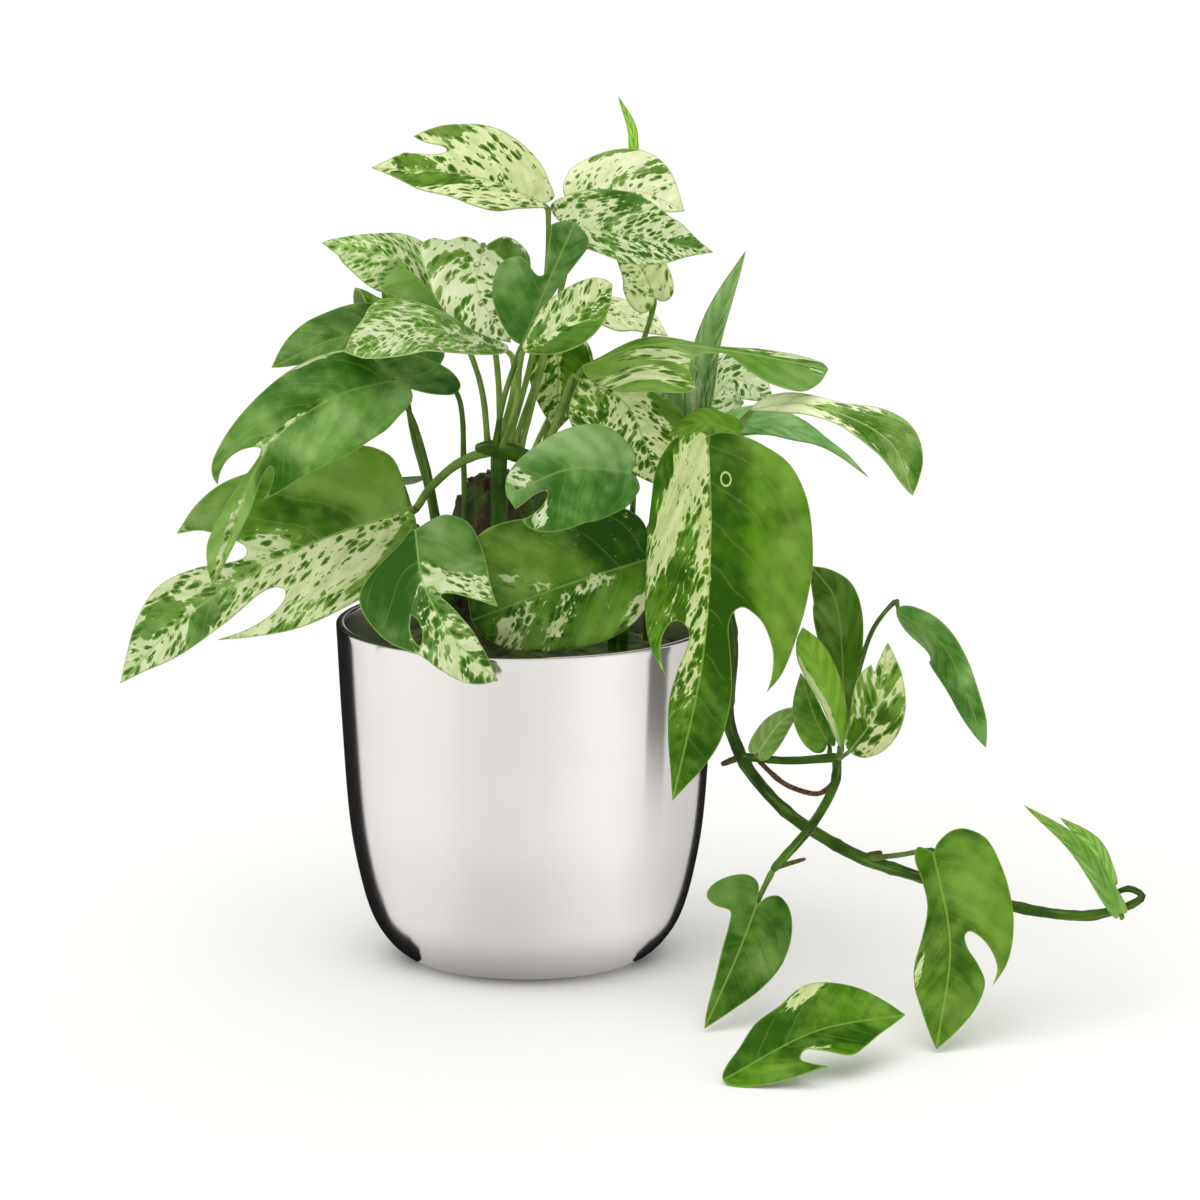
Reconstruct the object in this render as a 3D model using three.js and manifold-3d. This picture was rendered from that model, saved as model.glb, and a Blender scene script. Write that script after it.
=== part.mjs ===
// Potted marble king pothos in a polished metal cup pot.
// Millimetres, +Z up. The origin is the middle of the pot's foot, on the surface it stands on.
// +X is to the right of a person looking at the front, and +Y is away from them.
import * as THREE from "three";
import { mergeVertices } from "three/addons/utils/BufferGeometryUtils.js";
import Module from "manifold-3d";

const wasm = await Module();
wasm.setup();

// Pot: a seamless cup with a flat rim and a curved foot.
const POT_RADIUS = 95;
const POT_HEIGHT = 172;
const POT_WALL = 4.5;
const FOOT_RADIUS = 52;
const POT_SIDES = 40;
// Outside of the cup, from the foot to the rim, as radius and height.
const POT_PROFILE = [
  [FOOT_RADIUS, 0],
  [62, 3],
  [70, 9.5],
  [78, 22],
  [84, 42],
  [89, 71],
  [92.5, 121],
  [POT_RADIUS, POT_HEIGHT - 1],
];

// Growing mix, with a steep mossy root mound between the stems.
const MIX_HEIGHT = 158;
const MIX_GAP = 0.4;
const MOUND_HEIGHT = 84;
const MOUND_RADIUS = 25;
const MOUND_CENTRE = [-15, 22];
const MIX_RINGS = 9;
const MIX_SIDES = 28;
const HOLE_GAP = 0.45;

// Blades. Every length is shared by all of them, and the rest stands in the list below.
const BLADE_THICKNESS = 0.9;
const PETIOLE_GAP = 0.3;
const PETIOLE_TAPER = 0.9;
const PETIOLE_SIDES = 5;
const STEM_SIDES = 8;
const TUBE_STEP = 15;
const END_BULGE = 0.6;
const SHORTEST_EDGE = 0.05;

// Half outline of a plain heart-shaped blade, from the notch at the petiole to the tip. Each pair is
// the share of the midrib's length and the share of the half width. A third value marks a sharp point.
const HEART_OUTLINE = [
  [-0.07, 0.12], [-0.115, 0.42], [-0.06, 0.76], [0.1, 0.97], [0.33, 1],
  [0.55, 0.85], [0.74, 0.57], [0.89, 0.26], [0.96, 0.1],
];
const RIB_STATIONS = 7;
const RIB_BOW = 0.2;
const NORMAL_STEP = 0.01;
const OUTLINE_TOLERANCE = 0.4;

// The direction towards a person looking at the front, slightly from above.
const FRONT = new THREE.Vector3(0, -0.98, 0.2).normalize();

const LEFT = -1;
const RIGHT = 1;

// Colours of the pieces.
const STEEL = { color: 0xd9d7d4, roughness: 0.12, metalness: 1 };
const MIX = { color: 0x2e2418, roughness: 0.95, metalness: 0 };
const STEM = { color: 0x4f7a2c, roughness: 0.5, metalness: 0 };
const DARK_BLADE = { color: 0x3d6b2c, roughness: 0.4, metalness: 0 };
const BRIGHT_BLADE = { color: 0x559022, roughness: 0.45, metalness: 0 };
const MARBLED_BLADE = { color: 0x9fb56a, roughness: 0.45, metalness: 0 };
const PALE_BLADE = { color: 0xcdd3a2, roughness: 0.5, metalness: 0 };

// One entry for each blade.
// rib: the midrib from the petiole to the tip. turn: degrees that the upper face turns from the front
// towards its own right side. wide: true half widths, left and right, seen from above with the tip
// ahead. fold: degrees that each half lifts from flat. wave: height of the margin's waves. heart: how
// far the lobes reach back. left and right: a half outline of its own, where cuts or lobes change the
// plain one. holes: [side, outline] of each hole. from: the point where the petiole leaves its stem,
// through: points that it bends by, thick: its radius.
const BLADES = {
  crown: {
    leaf_top_left: {
      rib: [[10, 0, 381], [-24, -14, 396], [-75, -10, 400]],
      turn: 30, wide: [24, 25], fold: 22, wave: 1.2, skin: MARBLED_BLADE,
      left: [
        [0, 0.12], [0.18, 0.52], [0.33, 0.93], [0.45, 1.02], [0.58, 0.88], [0.71, 0.7], [0.83, 0.38],
        [0.92, 0.15],
      ],
      right: [
        [-0.04, 0.2], [0.02, 0.48], [0.1, 0.73], [0.25, 0.93], [0.43, 1.03], [0.62, 0.98], [0.72, 0.84],
        [0.79, 0.68, 1], [0.73, 0.58], [0.63, 0.52], [0.61, 0.43], [0.66, 0.36], [0.76, 0.34],
        [0.83, 0.35, 1], [0.9, 0.22],
      ],
      from: [-9, -18, 262], through: [[2, -8, 300], [10, 0, 340]],
    },
    leaf_spike: {
      rib: [[54, 44, 397], [53, 43, 413], [46, 41, 430]],
      turn: 0, wide: [3, 3], fold: 35, heart: 0, skin: BRIGHT_BLADE,
      from: [15, 17, 338], through: [[34, 44, 360], [50, 50, 382]], thick: 1.3,
    },
    leaf_top_back: {
      rib: [[30, 22, 374], [54, 26, 384], [79, 20, 375]],
      turn: -30, wide: [26, 20], fold: 8, skin: PALE_BLADE,
      from: [-6, -14, 262], through: [[8, 10, 300], [20, 22, 345]],
    },
    leaf_upper_right: {
      rib: [[23, -5, 371], [57, -22, 367], [92, -30, 361]],
      turn: -38, wide: [25, 26], fold: 18, wave: 1.2, skin: MARBLED_BLADE,
      left: [
        [-0.12, 0.08], [-0.2, 0.33], [-0.15, 0.55], [0.04, 0.82], [0.31, 0.96], [0.49, 0.8],
        [0.68, 0.54, 1], [0.76, 0.46], [0.87, 0.23],
      ],
      right: [
        [-0.05, 0.2], [0.05, 0.5], [0.28, 0.8], [0.53, 0.99], [0.71, 0.79], [0.87, 0.34], [0.95, 0.12],
      ],
      from: [-3, -14, 258], through: [[8, -6, 300], [18, -2, 340]],
    },
    leaf_under_right: {
      rib: [[64, 10, 333], [57, 4, 349], [43, 0, 362]],
      turn: 10, wide: [14, 12], fold: 10, skin: MARBLED_BLADE,
      from: [11, -8, 249], through: [[38, 6, 268], [52, 22, 294], [60, 20, 314]],
    },
    leaf_centre_dark: {
      rib: [[-1, -48, 318], [10, -45, 344], [25, -30, 376]],
      turn: 0, wide: [26, 14], fold: 8, skin: DARK_BLADE,
      left: [
        [0.01, 0.21], [0.1, 0.54], [0.22, 0.82], [0.33, 0.95], [0.45, 0.98], [0.54, 0.84], [0.58, 0.64],
        [0.55, 0.46], [0.51, 0.24], [0.55, 0.13], [0.68, 0.22], [0.9, 0.39, 1], [0.95, 0.27],
      ],
      right: [
        [0.02, 0.06], [0.12, 0.16], [0.35, 0.3], [0.55, 0.46], [0.69, 0.61], [0.86, 0.8, 1], [0.93, 0.6],
      ],
      from: [-15, -20, 262], through: [[-10, -38, 290]],
    },
    leaf_centre_right: {
      rib: [[0, -54, 317], [22, -62, 332], [43, -56, 349]],
      turn: -22, wide: [14, 18], fold: 10, skin: MARBLED_BLADE,
      left: [
        [0, 0.1], [0.09, 0.35], [0.3, 0.9], [0.48, 1.03], [0.72, 0.92], [0.9, 0.68], [0.98, 0.3],
      ],
      right: [
        [0, 0.1], [0.05, 0.25], [0.19, 0.52], [0.37, 0.78], [0.52, 0.88], [0.7, 0.74], [0.87, 0.41],
        [0.96, 0.14],
      ],
      from: [-12, -20, 262], through: [[-4, -40, 288]],
    },
    leaf_upper_left: {
      rib: [[-42, 12, 330], [-67, 2, 354], [-100, -2, 362]],
      turn: 30, wide: [20, 23], fold: -18, skin: MARBLED_BLADE,
      left: [
        [0.02, 0.15], [0.1, 0.35], [0.26, 0.62], [0.45, 0.86], [0.64, 0.86], [0.82, 0.48], [0.88, 0.25],
        [0.94, 0.12],
      ],
      right: [
        [0.02, 0.4], [0.15, 0.9], [0.3, 1.02], [0.48, 0.86], [0.67, 0.58], [0.84, 0.33], [0.95, 0.14],
      ],
      from: [-18, -18, 260], through: [[-22, 0, 290], [-32, 10, 315]],
    },
    leaf_upper_middle: {
      rib: [[-21, -4, 359], [-23, -16, 340], [-7, -18, 314.5]],
      turn: 0, wide: [26, 27], fold: -6, wave: 1, skin: PALE_BLADE,
      left: [
        [-0.08, 0.13], [-0.17, 0.4], [-0.12, 0.7], [0.02, 0.93], [0.16, 0.97], [0.4, 0.84], [0.6, 0.68],
        [0.76, 0.46], [0.88, 0.2],
      ],
      right: [
        [-0.08, 0.11], [-0.12, 0.36], [-0.07, 0.66], [-0.08, 0.94], [0, 1.14], [0.16, 1.08],
        [0.33, 0.86], [0.5, 0.68], [0.67, 0.52], [0.86, 0.26],
      ],
      from: [-12, -18, 262], through: [[-14, 2, 300], [-20, 6, 335]],
    },
    leaf_middle_left: {
      rib: [[-8, -25, 312.5], [-51, -41, 325.5], [-87, -50, 315]],
      turn: 52, wide: [30, 30], fold: 4, wave: 1.2, skin: PALE_BLADE,
      left: [
        [0.02, 0.1], [0.12, 0.3], [0.41, 0.65], [0.63, 0.82], [0.76, 0.72], [0.91, 0.45], [0.96, 0.24],
      ],
      right: [
        [0.02, 0.12], [0.23, 0.22], [0.4, 0.46], [0.56, 0.76], [0.67, 0.95], [0.75, 0.86], [0.82, 0.6],
        [0.92, 0.33],
      ],
      from: [-14, -20, 262], through: [[-6, -22, 290]],
    },
    leaf_centre_hanging: {
      rib: [[16, 16, 309], [16, 10, 289], [15, 8, 266]],
      turn: 0, wide: [18, 15], fold: -12, skin: BRIGHT_BLADE,
      from: [4, -10, 253], through: [[10, 12, 262], [15, 26, 290]],
    },
    leaf_right_long: {
      rib: [[28, -12, 302], [62, -26, 315], [103, -30, 312], [149, -28, 303]],
      turn: -48, wide: [20, 27], fold: -12, skin: MARBLED_BLADE,
      left: [
        [0.02, 0.06], [0.08, 0.12], [0.16, 0.27], [0.25, 0.37], [0.33, 0.42], [0.42, 0.27], [0.51, 0.15],
        [0.63, 0.2], [0.78, 0.42], [0.89, 0.4], [0.97, 0.3],
      ],
      right: [
        [0.02, 0.25], [0.08, 0.56], [0.19, 0.91], [0.34, 1.14], [0.46, 1.12], [0.51, 0.96, 1],
        [0.48, 0.69], [0.47, 0.38], [0.5, 0.2], [0.56, 0.1], [0.61, 0.1], [0.68, 0.34], [0.78, 0.58],
        [0.9, 0.64], [0.97, 0.35],
      ],
      from: [6, -10, 250], through: [[19, 0, 278]],
    },
    leaf_right_hanging: {
      rib: [[27, -13, 295.5], [50, -20, 284], [66, -28, 245]],
      turn: 0, wide: [24, 24], fold: -8, skin: MARBLED_BLADE,
      left: [
        [0.02, 0.06], [0.14, 0.2], [0.31, 0.45], [0.46, 0.71], [0.57, 0.92], [0.66, 0.98, 1],
        [0.77, 0.7], [0.9, 0.31],
      ],
      right: [
        [0, 0.2], [0.01, 0.5], [0.04, 0.82], [0.12, 1.01], [0.35, 1.02], [0.63, 0.88], [0.86, 0.42],
      ],
      from: [4, -11, 252], through: [[14, -14, 272]],
    },
    leaf_back_pale: {
      rib: [[39, 34, 322], [57, 36, 319], [71, 36, 310]],
      turn: -50, wide: [13, 13], fold: 0, skin: PALE_BLADE,
      from: [4, -8, 252], through: [[5, 14, 258], [22, 32, 290]],
    },
    leaf_left_big: {
      rib: [[-58, -22, 232], [-110, -40, 216], [-164, -46, 185], [-200, -40, 148]],
      turn: 12, wide: [36, 44], fold: 6, wave: 1.6, skin: MARBLED_BLADE,
      left: [
        [-0.01, 0.18], [0.03, 0.51], [0.09, 0.79], [0.18, 0.95], [0.33, 1.05], [0.45, 1.02],
        [0.57, 0.82], [0.68, 0.54, 1], [0.59, 0.66], [0.51, 0.67], [0.45, 0.58], [0.43, 0.45],
        [0.45, 0.34], [0.5, 0.32], [0.6, 0.4], [0.72, 0.42], [0.83, 0.32], [0.93, 0.12],
      ],
      right: [
        [-0.01, 0.16], [-0.02, 0.39], [-0.01, 0.65], [0.05, 0.84], [0.14, 0.9], [0.28, 0.96],
        [0.43, 1.06], [0.52, 1.01], [0.59, 0.87], [0.61, 0.82, 1], [0.55, 0.7], [0.49, 0.43],
        [0.47, 0.28], [0.49, 0.2], [0.54, 0.25], [0.61, 0.37], [0.72, 0.46], [0.82, 0.37], [0.92, 0.18],
      ],
      from: [-15, -20, 262], through: [[-32, -24, 256], [-47, -24, 243]], thick: 3,
    },
    leaf_behind_right: {
      rib: [[57, 36, 279], [64, 74, 263], [60, 102, 239]],
      turn: 180, wide: [22, 22], fold: 0, skin: BRIGHT_BLADE,
      from: [6, -6, 250], through: [[30, 16, 262]],
    },
  },
  left: {
    leaf_left_front: {
      rib: [[-65, -38, 299], [-94, -58, 293], [-124, -68, 270], [-152, -62, 201]],
      turn: 15, wide: [30, 26], fold: 8, skin: DARK_BLADE,
      left: [
        [-0.03, 0.04], [-0.05, 0.2], [-0.03, 0.46], [0.04, 0.66], [0.13, 0.88], [0.3, 1.03],
        [0.46, 0.88], [0.58, 0.62], [0.66, 0.34, 1], [0.61, 0.37], [0.56, 0.33], [0.54, 0.22],
        [0.59, 0.16], [0.7, 0.2], [0.8, 0.14], [0.9, 0.07],
      ],
      right: [
        [0.01, 0.19], [0.04, 0.5], [0.09, 0.73], [0.18, 0.82], [0.3, 0.85], [0.44, 0.79], [0.54, 0.82],
        [0.62, 0.82], [0.66, 0.72], [0.68, 0.56, 1], [0.64, 0.6], [0.59, 0.56], [0.54, 0.38],
        [0.51, 0.12], [0.56, 0.08], [0.67, 0.21], [0.8, 0.34], [0.88, 0.36], [0.95, 0.2],
      ],
      from: [-40, -7, 189], through: [[-44, -12, 228], [-52, -20, 267]],
    },
    leaf_left_back: {
      rib: [[-43, 32, 296], [-87, 14, 313], [-126, 4, 299]],
      turn: 40, wide: [24, 22], fold: 5, skin: DARK_BLADE,
      right: [
        [-0.02, 0.35], [0.04, 0.75], [0.15, 0.99], [0.27, 1.07], [0.42, 0.97], [0.58, 0.85],
        [0.73, 0.76], [0.84, 0.58], [0.93, 0.3],
      ],
      from: [-39, -5, 184], through: [[-31, -4, 220], [-31, 6, 250], [-33, 24, 278]],
    },
    leaf_front_left: {
      rib: [[-53, -60, 229], [-48, -84, 206], [-33, -100, 183], [-12, -102, 163]],
      turn: 10, wide: [31, 34], fold: -10, skin: MARBLED_BLADE,
      left: [
        [-0.04, 0.25], [-0.06, 0.5], [-0.02, 0.73], [0.05, 0.91], [0.18, 1.01], [0.41, 1.02],
        [0.71, 0.84, 1], [0.59, 0.65], [0.47, 0.36], [0.45, 0.18], [0.55, 0.26], [0.72, 0.3],
        [0.87, 0.18], [0.94, 0.07],
      ],
      right: [
        [-0.01, 0.08], [0.06, 0.28], [0.15, 0.66], [0.24, 0.95], [0.31, 1.02], [0.4, 0.97], [0.5, 0.85],
        [0.64, 0.57], [0.76, 0.47], [0.87, 0.38], [0.95, 0.22],
      ],
      holes: [
        [RIGHT, [[0.45, 0.36], [0.52, 0.5], [0.6, 0.5], [0.57, 0.36], [0.5, 0.3]]],
      ],
      from: [-41, -8, 178], through: [[-50, -36, 200]],
    },
    leaf_behind_left: {
      rib: [[-62, 48, 315], [-68, 84, 321], [-75, 112, 308]],
      turn: 45, wide: [24, 24], fold: 5, skin: BRIGHT_BLADE,
      from: [-41, -4, 180], through: [[-48, 18, 228], [-58, 42, 262], [-62, 44, 294]],
    },
    leaf_behind_low_left: {
      rib: [[-67, 50, 235], [-99, 72, 226], [-133, 92, 210]],
      turn: 100, wide: [28, 26], fold: 5, skin: DARK_BLADE,
      from: [-42, -5, 172], through: [[-56, 20, 215]],
    },
  },
  right: {
    leaf_front_heart: {
      rib: [[52, -70, 259], [23, -88, 264], [-8, -94, 252]],
      turn: 15, wide: [31, 25], fold: 0, skin: DARK_BLADE,
      left: [
        [-0.05, 0.11], [-0.06, 0.26], [-0.01, 0.4], [0.08, 0.6], [0.29, 0.82], [0.5, 0.9], [0.7, 0.91],
        [0.87, 0.79], [0.95, 0.62], [0.97, 0.46, 1], [0.9, 0.45], [0.82, 0.4], [0.75, 0.3], [0.74, 0.2],
        [0.82, 0.18], [0.9, 0.22], [0.98, 0.26, 1], [0.99, 0.12],
      ],
      right: [
        [-0.05, 0.22], [-0.03, 0.5], [0.07, 0.74], [0.2, 0.86], [0.34, 0.87], [0.57, 0.74], [0.72, 0.63],
        [0.84, 0.52], [0.93, 0.36], [0.98, 0.17],
      ],
      from: [45, -14, 185], through: [[52, -40, 225]],
    },
    leaf_front_wide: {
      rib: [[64, -52, 214], [20, -68, 203], [-26, -61, 184]],
      turn: -5, wide: [35, 38], fold: 4, skin: DARK_BLADE,
      left: [
        [0.02, 0.2], [0.05, 0.42], [0.12, 0.64], [0.25, 0.85], [0.43, 0.91], [0.65, 0.82], [0.84, 0.62],
        [0.95, 0.35],
      ],
      right: [
        [0, 0.23], [0.02, 0.52], [0.11, 0.74], [0.27, 0.82], [0.42, 0.87], [0.58, 1], [0.72, 1.04],
        [0.82, 0.95], [0.9, 0.7], [0.96, 0.37],
      ],
      from: [45, -12, 165], through: [[60, -26, 188]],
    },
    leaf_hero: {
      rib: [[89, -70, 277], [90, -98, 236], [86, -112, 175], [72, -112, 106]],
      turn: 20, wide: [52, 41], fold: -20, wave: 1.6, skin: BRIGHT_BLADE,
      left: [
        [-0.01, 0.12], [0, 0.3], [0.03, 0.5], [0.09, 0.74], [0.2, 0.9], [0.34, 0.96], [0.44, 0.92],
        [0.54, 0.83], [0.62, 0.74], [0.67, 0.63, 1], [0.63, 0.65], [0.57, 0.63], [0.51, 0.53],
        [0.48, 0.41], [0.47, 0.31], [0.49, 0.23], [0.53, 0.21], [0.6, 0.26], [0.7, 0.32], [0.81, 0.31],
        [0.9, 0.2], [0.95, 0.1],
      ],
      right: [
        [-0.02, 0.11], [-0.03, 0.35], [-0.02, 0.58], [0.05, 0.83], [0.19, 0.92], [0.34, 0.95],
        [0.47, 0.96], [0.56, 0.9], [0.63, 0.74], [0.69, 0.5, 1], [0.64, 0.62], [0.58, 0.66],
        [0.53, 0.56], [0.52, 0.4], [0.54, 0.26], [0.58, 0.24], [0.66, 0.34], [0.75, 0.38], [0.84, 0.29],
        [0.93, 0.12],
      ],
      from: [48, -12, 188], through: [[72, -24, 225], [88, -46, 258]], thick: 2.6,
    },
    leaf_behind_hero: {
      rib: [[103, -36, 273], [88, -38, 278], [70, -40, 272]],
      turn: 40, wide: [8, 10], fold: 0, skin: BRIGHT_BLADE,
      from: [52, -8, 188], through: [[88, -8, 230], [106, -26, 256]], thick: 1.6,
    },
    leaf_right_tall: {
      rib: [[87, 10, 274], [93, 4, 313], [109, 6, 357]],
      turn: -20, wide: [10, 10], fold: 42, heart: 0.4, skin: DARK_BLADE,
      from: [42, -10, 188], through: [[47, -6, 238], [56, 4, 257], [76, 14, 266]],
    },
    leaf_right_pale: {
      rib: [[90, 37, 273], [105, 41, 287], [125, 37, 276]],
      turn: -20, wide: [16, 14], fold: 0, skin: PALE_BLADE,
      from: [48, -6, 185], through: [[70, 18, 235]],
    },
    leaf_right_grey: {
      rib: [[93, 22, 266], [121, 0, 271], [149, -8, 262], [170, -8, 246]],
      turn: -50, wide: [14, 12], fold: 5, skin: DARK_BLADE,
      left: [
        [0, 0.4], [0.05, 0.68], [0.18, 0.86], [0.38, 0.92], [0.56, 0.68], [0.72, 0.3], [0.86, 0.2],
      ],
      right: [
        [0.01, 0.3], [0.1, 0.66], [0.31, 0.9], [0.52, 0.82], [0.66, 0.36], [0.82, 0.16],
      ],
      from: [50, -8, 185], through: [[74, 10, 235]],
    },
    leaf_right_arch: {
      rib: [[111, -22, 282], [139, -38, 287], [177, -46, 271], [190, -44, 243]],
      turn: -40, wide: [14, 14], fold: 10, skin: PALE_BLADE,
      left: [
        [0.02, 0.2], [0.08, 0.42], [0.16, 0.46], [0.3, 0.42], [0.46, 0.5], [0.6, 0.9], [0.75, 1.1],
        [0.88, 0.9], [0.96, 0.4],
      ],
      right: [
        [0.03, 0.1], [0.12, 0.28], [0.25, 0.54], [0.44, 0.6], [0.58, 0.85], [0.72, 0.9], [0.86, 0.6],
        [0.95, 0.25],
      ],
      from: [50, -10, 190], through: [[87, -8, 246], [100, -16, 269]],
    },
    leaf_behind_low_right: {
      rib: [[107, 42, 241], [115, 66, 210], [113, 86, 167]],
      turn: 180, wide: [24, 24], fold: 4, skin: DARK_BLADE,
      from: [48, -4, 182], through: [[84, 22, 216]],
    },
    leaf_behind_low: {
      rib: [[23, 42, 235], [26, 78, 203], [29, 100, 162]],
      turn: 180, wide: [26, 26], fold: 4, skin: BRIGHT_BLADE,
      from: [43, -4, 182], through: [[32, 20, 208]],
    },
  },
  vine: {
    leaf_vine_back: {
      rib: [[157, -40, 119], [157, -32, 158], [153, -32, 189], [141, -34, 206]],
      turn: 0, wide: [12, 13], fold: 10, skin: DARK_BLADE,
      left: [
        [0.01, 0.15], [0.08, 0.35], [0.27, 0.66], [0.5, 0.94], [0.7, 1.08], [0.86, 0.8], [0.96, 0.3],
      ],
      right: [
        [0.02, 0.14], [0.14, 0.34], [0.3, 0.6], [0.5, 0.8], [0.68, 0.9], [0.8, 0.84], [0.88, 0.62],
        [0.95, 0.33],
      ],
      from: [154, -48, 113], thick: 1.4,
    },
    leaf_vine_bright: {
      rib: [[155, -62, 121], [149, -72, 147], [136, -62, 181]],
      turn: 0, wide: [10, 9], fold: 14, skin: BRIGHT_BLADE,
      left: [
        [0.03, 0.1], [0.15, 0.25], [0.42, 0.5], [0.63, 0.8], [0.8, 0.83], [0.93, 0.5],
      ],
      right: [
        [0.03, 0.2], [0.15, 0.55], [0.36, 0.8], [0.56, 0.92], [0.74, 0.86], [0.88, 0.56],
      ],
      from: [154, -51, 113], thick: 1.4,
    },
    leaf_vine_side: {
      rib: [[149, -44, 120], [143, -44, 132], [136, -42, 154]],
      turn: 0, wide: [11, 5], fold: 5, skin: DARK_BLADE,
      from: [150, -47, 112], thick: 1.3,
    },
    leaf_vine_marbled: {
      rib: [[159, -72, 121], [170, -84, 142], [177, -74, 176]],
      turn: 0, wide: [12, 14], fold: 8, skin: MARBLED_BLADE,
      left: [
        [0.02, 0.2], [0.08, 0.42], [0.28, 0.81], [0.5, 1.04], [0.65, 1.03], [0.75, 0.82],
        [0.81, 0.52, 1], [0.76, 0.36], [0.84, 0.26], [0.93, 0.12],
      ],
      right: [
        [0, 0.2], [0.05, 0.58], [0.2, 0.91], [0.36, 1.03], [0.56, 0.98], [0.77, 0.67], [0.91, 0.3],
      ],
      from: [154, -52, 112], thick: 1.4,
    },
    leaf_vine_long: {
      rib: [[182, -56, 188], [205, -74, 173], [225, -80, 125]],
      turn: 50, wide: [14, 17], fold: -10, skin: DARK_BLADE,
      left: [
        [0.01, 0.2], [0.05, 0.42], [0.13, 0.62], [0.24, 0.7], [0.38, 0.6], [0.6, 0.55], [0.82, 0.46],
        [0.94, 0.2],
      ],
      right: [
        [0.01, 0.2], [0.06, 0.6], [0.15, 0.9], [0.32, 1.05], [0.52, 1.02], [0.75, 0.8], [0.92, 0.32],
      ],
      from: [155, -46, 114], through: [[166, -42, 160], [172, -46, 178]], thick: 1.7,
    },
    leaf_vine_small: {
      rib: [[116, -32, 112], [126, -36, 127], [138, -36, 136]],
      turn: 0, wide: [7, 7], fold: 0, skin: PALE_BLADE,
      from: [118, -27, 107], thick: 1.2,
    },
    leaf_vine_front: {
      rib: [[198, -112, 80], [204, -150, 44], [196, -182, 2]],
      turn: 0, wide: [33, 15], fold: 0, skin: BRIGHT_BLADE,
      left: [
        [-0.05, 0.09], [-0.1, 0.3], [-0.1, 0.54], [-0.02, 0.82], [0.16, 0.94], [0.33, 0.96],
        [0.45, 0.92], [0.56, 0.83], [0.66, 0.65, 1], [0.58, 0.69], [0.49, 0.54], [0.43, 0.32],
        [0.45, 0.22], [0.51, 0.26], [0.58, 0.42], [0.66, 0.54], [0.78, 0.45], [0.91, 0.22],
      ],
      right: [
        [-0.03, 0.24], [-0.04, 0.49], [0.02, 0.63], [0.13, 0.55], [0.27, 0.56], [0.44, 0.86], [0.6, 1.1],
        [0.72, 1.02], [0.84, 0.64], [0.93, 0.3],
      ],
      from: [169, -72, 67], through: [[183, -92, 74]], thick: 1.8,
    },
    leaf_vine_low: {
      rib: [[113, -104, 52], [103, -128, 33], [87, -147, 2]],
      turn: 0, wide: [22, 22], fold: 0, skin: BRIGHT_BLADE,
      left: [
        [-0.1, 0.17], [-0.14, 0.44], [-0.05, 0.76], [0.15, 0.97], [0.38, 0.98], [0.6, 0.76],
        [0.82, 0.36],
      ],
      right: [
        [-0.16, 0.12], [-0.2, 0.4], [-0.14, 0.75], [-0.02, 1.06], [0.08, 1.1], [0.13, 0.86], [0.13, 0.5],
        [0.25, 0.42], [0.45, 0.36], [0.7, 0.22], [0.88, 0.12],
      ],
      from: [121, -98, 68], thick: 1.8,
    },
    leaf_vine_end: {
      rib: [[289, -103, 48], [268, -102, 80], [242, -100, 101]],
      turn: 0, wide: [5, 6], fold: 30, heart: 0.2, skin: BRIGHT_BLADE,
      from: [290, -100, 49], thick: 1.2,
    },
    leaf_vine_end_young: {
      rib: [[286, -88, 58], [278, -86, 77], [261, -84, 91]],
      turn: 0, wide: [5, 5], fold: 30, heart: 0.2, skin: BRIGHT_BLADE,
      from: [285, -90, 53], thick: 1.1,
    },
  },
};

// The leaf that lies by itself in front of the pot.
const FALLEN = {
  rib: [[94, -232, 2], [137, -214, 20], [181, -182, 19]],
  turn: -40, wide: [24, 20], fold: 8, skin: BRIGHT_BLADE,
  left: [
    [0.01, 0.1], [0.06, 0.26], [0.14, 0.42], [0.27, 0.72], [0.41, 0.82], [0.53, 0.98], [0.64, 0.95],
    [0.81, 0.73], [0.93, 0.35],
  ],
  right: [
    [0, 0.15], [0.03, 0.4], [0.14, 0.78], [0.26, 1.04], [0.4, 1.24, 1], [0.35, 0.9], [0.33, 0.62],
    [0.38, 0.42], [0.44, 0.66], [0.54, 1.02], [0.66, 0.8], [0.78, 0.5], [0.91, 0.22],
  ],
};

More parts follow.
